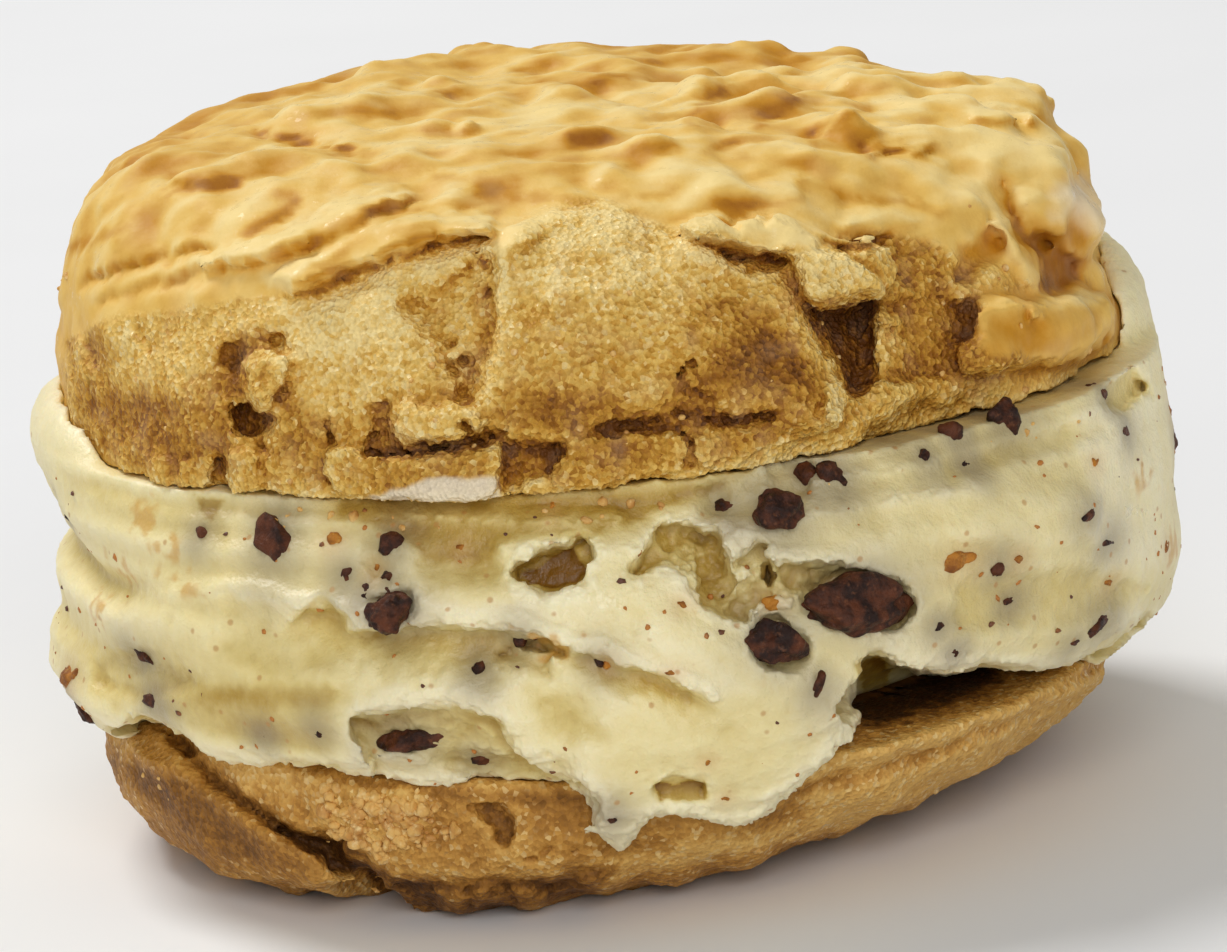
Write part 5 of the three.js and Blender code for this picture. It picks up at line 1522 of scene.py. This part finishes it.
# cookie tones from pale to dark; the darker ones stand for browning and for painted shade
GOLDEN_SKIN = tones((244, 216, 144), (230, 187, 96), (198, 138, 36), (146, 86, 12))
GOLDEN_CRUMB = tones((246, 218, 146), (230, 188, 96), (200, 146, 52), (154, 98, 26), (100, 56, 14))
BROWN_SKIN = tones((216, 168, 92), (186, 132, 56), (146, 96, 34), (92, 56, 18))
BROWN_CRUMB = tones((226, 182, 102), (198, 146, 68), (158, 108, 42), (110, 70, 24), (62, 34, 10))
DARK_CHOCOLATE = tones((96, 50, 26), (38, 18, 10), (134, 84, 54))  # light, dark, bloom
CARAMEL_TONES = tones((200, 132, 48), (132, 76, 26), (224, 176, 88))
SPECK_TONES = tones((186, 118, 44), (96, 54, 34))
# painted highlight of glinting sugar flakes, and the dried melt
PAINTED_GLINT, FILM = tone(255, 234, 172), tone(240, 226, 198)
HALO, STAIN, TINT, CREAM_SPECK = tones((122, 108, 96), (206, 150, 46), (206, 160, 96), (186, 130, 62))
LOOSE_DARK, LOOSE_MIDDLE, LOOSE_LIGHT = tones((190, 134, 62), (222, 176, 98), (236, 204, 142))
FLOOR_TONES = tones((236, 236, 236), (242, 242, 242))
WHITE = (1, 1, 1, 1)
NOISE_ROUGH = 0.55


class Paint:
    """A material with short ways to wire its nodes. Sizes are in millimetres."""

    def __init__(self, name):
        self.material = bpy.data.materials.new(name)
        self.material.use_nodes = True
        self.nodes = self.material.node_tree.nodes
        self.shader = self.nodes["Principled BSDF"]
        self.where = self.nodes.new("ShaderNodeTexCoord").outputs["Object"]

    def feed(self, socket, value):
        if isinstance(value, bpy.types.NodeSocket):
            self.material.node_tree.links.new(value, socket)
        else:
            socket.default_value = value

    def value(self, name):
        """One of the values that the piece has at its points."""
        node = self.nodes.new("ShaderNodeAttribute")
        node.attribute_name = name
        return node.outputs["Fac"]

    def noise(self, size, detail=3.0):
        node = self.nodes.new("ShaderNodeTexNoise")
        self.feed(node.inputs["Vector"], self.where)
        node.inputs["Scale"].default_value = 1 / (size * MM)
        node.inputs["Detail"].default_value = detail
        node.inputs["Roughness"].default_value = NOISE_ROUGH
        return node.outputs["Fac"]

    def cells(self, size, output="Distance"):
        """Small cells: the distance to a cell's middle, or a colour of its own."""
        node = self.nodes.new("ShaderNodeTexVoronoi")
        self.feed(node.inputs["Vector"], self.where)
        node.inputs["Scale"].default_value = 1 / (size * MM)
        return node.outputs[output]

    def math(self, operation, a, b=0.0, c=0.0):
        node = self.nodes.new("ShaderNodeMath")
        node.operation = operation
        for n, v in enumerate((a, b, c)):
            self.feed(node.inputs[n], v)
        return node.outputs[0]

    def total(self, *terms):
        """The sum of (socket, factor) pairs."""
        out = 0.0
        for socket, factor in terms:
            out = self.math("MULTIPLY_ADD", socket, factor, out)
        return out

    def span(self, value, low, high, start=0.0, end=1.0):
        """From start to end as value goes from low to high."""
        node = self.nodes.new("ShaderNodeMapRange")
        node.interpolation_type = "SMOOTHSTEP"
        for n, v in enumerate((value, low, high, start, end)):
            self.feed(node.inputs[n], v)
        return node.outputs[0]

    def split(self, color):
        """The red, green and blue of a colour."""
        node = self.nodes.new("ShaderNodeSeparateColor")
        self.feed(node.inputs[0], color)
        return node.outputs

    def mix(self, share, a, b):
        """Colour a, with a share of colour b over it."""
        node = self.nodes.new("ShaderNodeMix")
        node.data_type = "RGBA"
        self.feed(node.inputs["Factor"], share)
        self.feed(node.inputs[6], a)
        self.feed(node.inputs[7], b)
        return node.outputs[2]

    def ramp(self, value, tones):
        """Even steps through tones, from value 0 to 1."""
        node = self.nodes.new("ShaderNodeValToRGB")
        stops = node.color_ramp.elements
        while len(stops) < len(tones):
            stops.new(0.5)
        for n, color in enumerate(tones):
            stops[n].position = n / (len(tones) - 1)
            stops[n].color = color
        self.feed(node.inputs[0], value)
        return node.outputs[0]

    def bump(self, height, depth, strength=1.0, under=None):
        node = self.nodes.new("ShaderNodeBump")
        node.inputs["Strength"].default_value = strength
        node.inputs["Distance"].default_value = depth * MM
        self.feed(node.inputs["Height"], height)
        if under is not None:
            self.feed(node.inputs["Normal"], under)
        return node.outputs["Normal"]

    def finish(self, color, rough, normal):
        self.feed(self.shader.inputs["Base Color"], color)
        self.feed(self.shader.inputs["Roughness"], rough)
        self.feed(self.shader.inputs["Normal"], normal)
        return self.material


FLAKE = 0.34  # size of the crumb's sugar flakes in millimetres
CREAM_CRUMB = 1.5  # spacing of the crumbs under the ice cream's surface


def skin_color(m, browning_and_shade, skin):
    brown = m.total((browning_and_shade, 1.0), (m.noise(7), 0.3), (m.noise(1.8, 4), 0.16), (m.noise(0.6), 0.1))
    return m.ramp(m.math("ADD", brown, -0.34), skin)


def crumb_color(m, browning_and_shade, crumb):
    """The crumb's colour with a painted highlight on the flakes that glint, and where they glint."""
    flake = m.split(m.cells(FLAKE, "Color"))
    grain = m.value("grain")
    shade = m.total((browning_and_shade, 1.0), (grain, -0.3), (flake[0], 0.3), (m.noise(3), 0.3), (m.noise(0.5), 0.25))
    # painted highlight on the flakes that catch the light, most on the paler crumb
    glint = m.math("MULTIPLY", m.span(flake[1], 0.84, 0.9), m.span(shade, 0.9, 0.5))
    color = m.ramp(m.math("ADD", shade, -0.3), crumb)
    return m.mix(m.math("MULTIPLY", glint, 0.45), color, PAINTED_GLINT), glint


def cookie_paint(name, skin, crumb):
    """Baked skin and broken crumb, with dried melt over them where there is film."""
    m = Paint(name)
    browning_and_shade, bared, film = m.value("bake_and_shade"), m.value("crumb"), m.value("film")
    broken, glint = crumb_color(m, browning_and_shade, crumb)
    color = m.mix(m.span(bared, 0.0, 0.9), skin_color(m, browning_and_shade, skin), broken)
    color = m.mix(m.math("MULTIPLY", film, 0.85), color, FILM)
    rough = m.math("ADD", m.total((m.noise(1.2), 0.25), (film, -0.2), (glint, -0.3)), 0.46)
    flakes = m.bump(m.math("MULTIPLY", m.cells(FLAKE), bared), 0.22)
    m.shader.inputs["Specular IOR Level"].default_value = 0.22
    return m.finish(color, rough, m.bump(m.noise(0.5, 4), 0.1, 0.5, flakes))


def cream_painted_shade(m):
    """Painted shade: from 0 on the pale ridges to 1 in the yellow hollows, and deeper where the drawing
    paints shade.
    """
    ridge, fine, shade = m.value("ridge"), m.value("ridge_fine"), m.value("shade")
    depth = m.total((ridge, -0.75), (fine, -0.2), (m.noise(6), 0.1), (m.noise(0.8, 4), 0.16), (shade, 0.5))
    return m.math("ADD", m.total((depth, 1.0), (m.span(shade, 0.8, 1.1), 0.3)), 0.41)


def cream_paint():
    m = Paint("ice_cream_soft")
    color = m.ramp(cream_painted_shade(m), CREAM_LIT_TO_SHADED)
    for name, share, stained in (("halo", 0.6, HALO), ("stain", 0.6, STAIN), ("tint", 0.35, TINT)):
        color = m.mix(m.math("MULTIPLY", m.value(name), share), color, stained)
    chosen = m.span(m.split(m.cells(CREAM_CRUMB, "Color"))[0], 0.62, 0.66)
    speck = m.math("MULTIPLY", chosen, m.span(m.cells(CREAM_CRUMB), 0.2, 0.08))
    color = m.mix(m.math("MULTIPLY", speck, 0.6), color, CREAM_SPECK)
    rough = m.math("ADD", m.total((m.noise(2.5), 0.3), (m.value("wet"), -0.24)), 0.29)
    m.shader.inputs["Subsurface Weight"].default_value = 0.2
    m.shader.inputs["Subsurface Radius"].default_value = (1.0, 0.75, 0.45)
    m.shader.inputs["Subsurface Scale"].default_value = 0.0018
    m.shader.inputs["Specular IOR Level"].default_value = 0.5
    return m.finish(color, rough, m.bump(m.noise(0.28, 2), 0.1, 0.8, m.bump(m.noise(1.1, 4), 0.2, 0.7)))


def chocolate_paint(name, light, dark, bloom):
    """Broken chocolate with a paler bloom in patches."""
    m = Paint(name)
    color = m.mix(m.span(m.noise(1.4, 4), 0.35, 0.68), dark, light)
    color = m.mix(m.math("MULTIPLY", m.span(m.noise(0.5), 0.56, 0.75), 0.45), color, bloom)
    rough = m.span(m.noise(0.8), 0.3, 0.7, 0.4, 0.7)
    normal = m.bump(m.noise(0.4, 4), 0.3, 0.9)
    m.shader.inputs["Specular IOR Level"].default_value = 0.25
    return m.finish(color, rough, normal)


def speck_paint():
    m = Paint("specks")
    color = m.mix(m.span(m.noise(6, 1), 0.52, 0.6), *SPECK_TONES)
    return m.finish(color, m.span(m.noise(0.5), 0.3, 0.7, 0.35, 0.6), m.bump(m.noise(0.3), 0.1))


def loose_crumb_paint():
    m = Paint("loose_crumbs")
    color = m.mix(m.span(m.noise(1.6), 0.3, 0.55), LOOSE_DARK, LOOSE_MIDDLE)
    color = m.mix(m.span(m.noise(0.6), 0.5, 0.72), color, LOOSE_LIGHT)
    return m.finish(color, m.span(m.noise(0.5), 0.3, 0.7, 0.5, 0.75), m.bump(m.noise(0.35, 4), 0.14, 0.8))


# ---------- the pieces ----------
lid_clay = make_lid()
heel_clay = make_heel()
fill_clay = make_fill(lid_clay, heel_clay)

HIDDEN_DARK, HIDDEN_PALE = 22, 9  # how many bits on the sides that face away
dark_bits = BITS + hidden_bits(61, HIDDEN_DARK)
pale_bits = CARAMEL + hidden_bits(62, HIDDEN_PALE)
chunk_spots = [(az, z, half[0], half[2]) for _, az, z, half, _ in CHUNKS]

lid = lid_piece(lid_clay)
heel = heel_piece(heel_clay)
fill = fill_piece(fill_clay, dark_bits + chunk_spots, pale_bits)
dark = bits_piece("chocolate_bits", fill_clay, dark_bits, 200, 0.6)
pale = bits_piece("caramel_bits", fill_clay, pale_bits, 400, 0.7)
specks = specks_piece(fill_clay)
crumbs = crumbs_piece(lid_clay, heel_clay, fill_clay)

CHUNK_DETAIL = 5
chocolate = chocolate_paint("chocolate", *DARK_CHOCOLATE)
for seed, (name, _, _, half, lean) in enumerate(CHUNKS):
    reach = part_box(name)
    centre = (np.array(reach[0]) + np.array(reach[1])) / 2 / MM
    p, faces = chip(polar(centre), half, lean, 500 + seed, CHUNK_DETAIL, CHUNK_CUTS)
    chunk = build(name + "_broken", p, [faces], (name,))
    chunk.data.materials.append(chocolate)

lid.data.materials.append(cookie_paint("golden_cookie", GOLDEN_SKIN, GOLDEN_CRUMB))
heel.data.materials.append(cookie_paint("brown_cookie", BROWN_SKIN, BROWN_CRUMB))
fill.data.materials.append(cream_paint())
dark.data.materials.append(chocolate)
pale.data.materials.append(chocolate_paint("caramel", *CARAMEL_TONES))
specks.data.materials.append(speck_paint())
crumbs.data.materials.append(loose_crumb_paint())

# ---------- camera ----------
SENSOR = 36  # its width in millimetres
camera = bpy.data.objects.new("camera", bpy.data.cameras.new("camera"))
bpy.context.scene.collection.objects.link(camera)
columns = (RIGHT, UP, BACK, (AIM + BACK * AWAY) * MM)
camera.matrix_world = Matrix([[c[n] for c in columns] for n in range(3)] + [[0, 0, 0, 1]])
camera.data.sensor_fit = "HORIZONTAL"
camera.data.sensor_width = SENSOR
camera.data.lens = SENSOR * SCALE * AWAY / SHEET[0]
camera.data.clip_start, camera.data.clip_end = 0.01, 20
bpy.context.scene.camera = camera

# ---------- floor and light ----------
FLOOR_SIZE = 6
AMBIENT = 0.34
LIT = (0, 0, 0.03)  # the point that the lamps are turned to

bpy.ops.mesh.primitive_plane_add(size=FLOOR_SIZE, location=(0, 0, 0))
floor = bpy.context.object
floor.name = "floor"
floor_paint = Paint("floor")
floor_white = floor_paint.mix(floor_paint.noise(60, 2), *FLOOR_TONES)
floor_grain = floor_paint.bump(floor_paint.noise(2), 0.02, 0.2)
floor.data.materials.append(floor_paint.finish(floor_white, 0.9, floor_grain))


def lamp(name, at, size, power):
    """A round soft lamp."""
    data = bpy.data.lights.new(name, "AREA")
    data.shape = "DISK"
    data.size = size
    data.energy = power
    lamp_object = bpy.data.objects.new(name, data)
    lamp_object.location = at
    lamp_object.rotation_euler = (Vector(LIT) - Vector(at)).to_track_quat("-Z", "Y").to_euler()
    bpy.context.scene.collection.objects.link(lamp_object)


lamp("key", (-0.9, 0.8, 1.9), size=0.8, power=29)
lamp("front", (0.1, -1.8, 1.0), size=1.2, power=16)
world = bpy.data.worlds.new("world")
world.use_nodes = True
backdrop = world.node_tree.nodes["Background"].inputs
backdrop["Color"].default_value = WHITE
backdrop["Strength"].default_value = AMBIENT
bpy.context.scene.world = world
bpy.context.scene.view_settings.view_transform = "Standard"
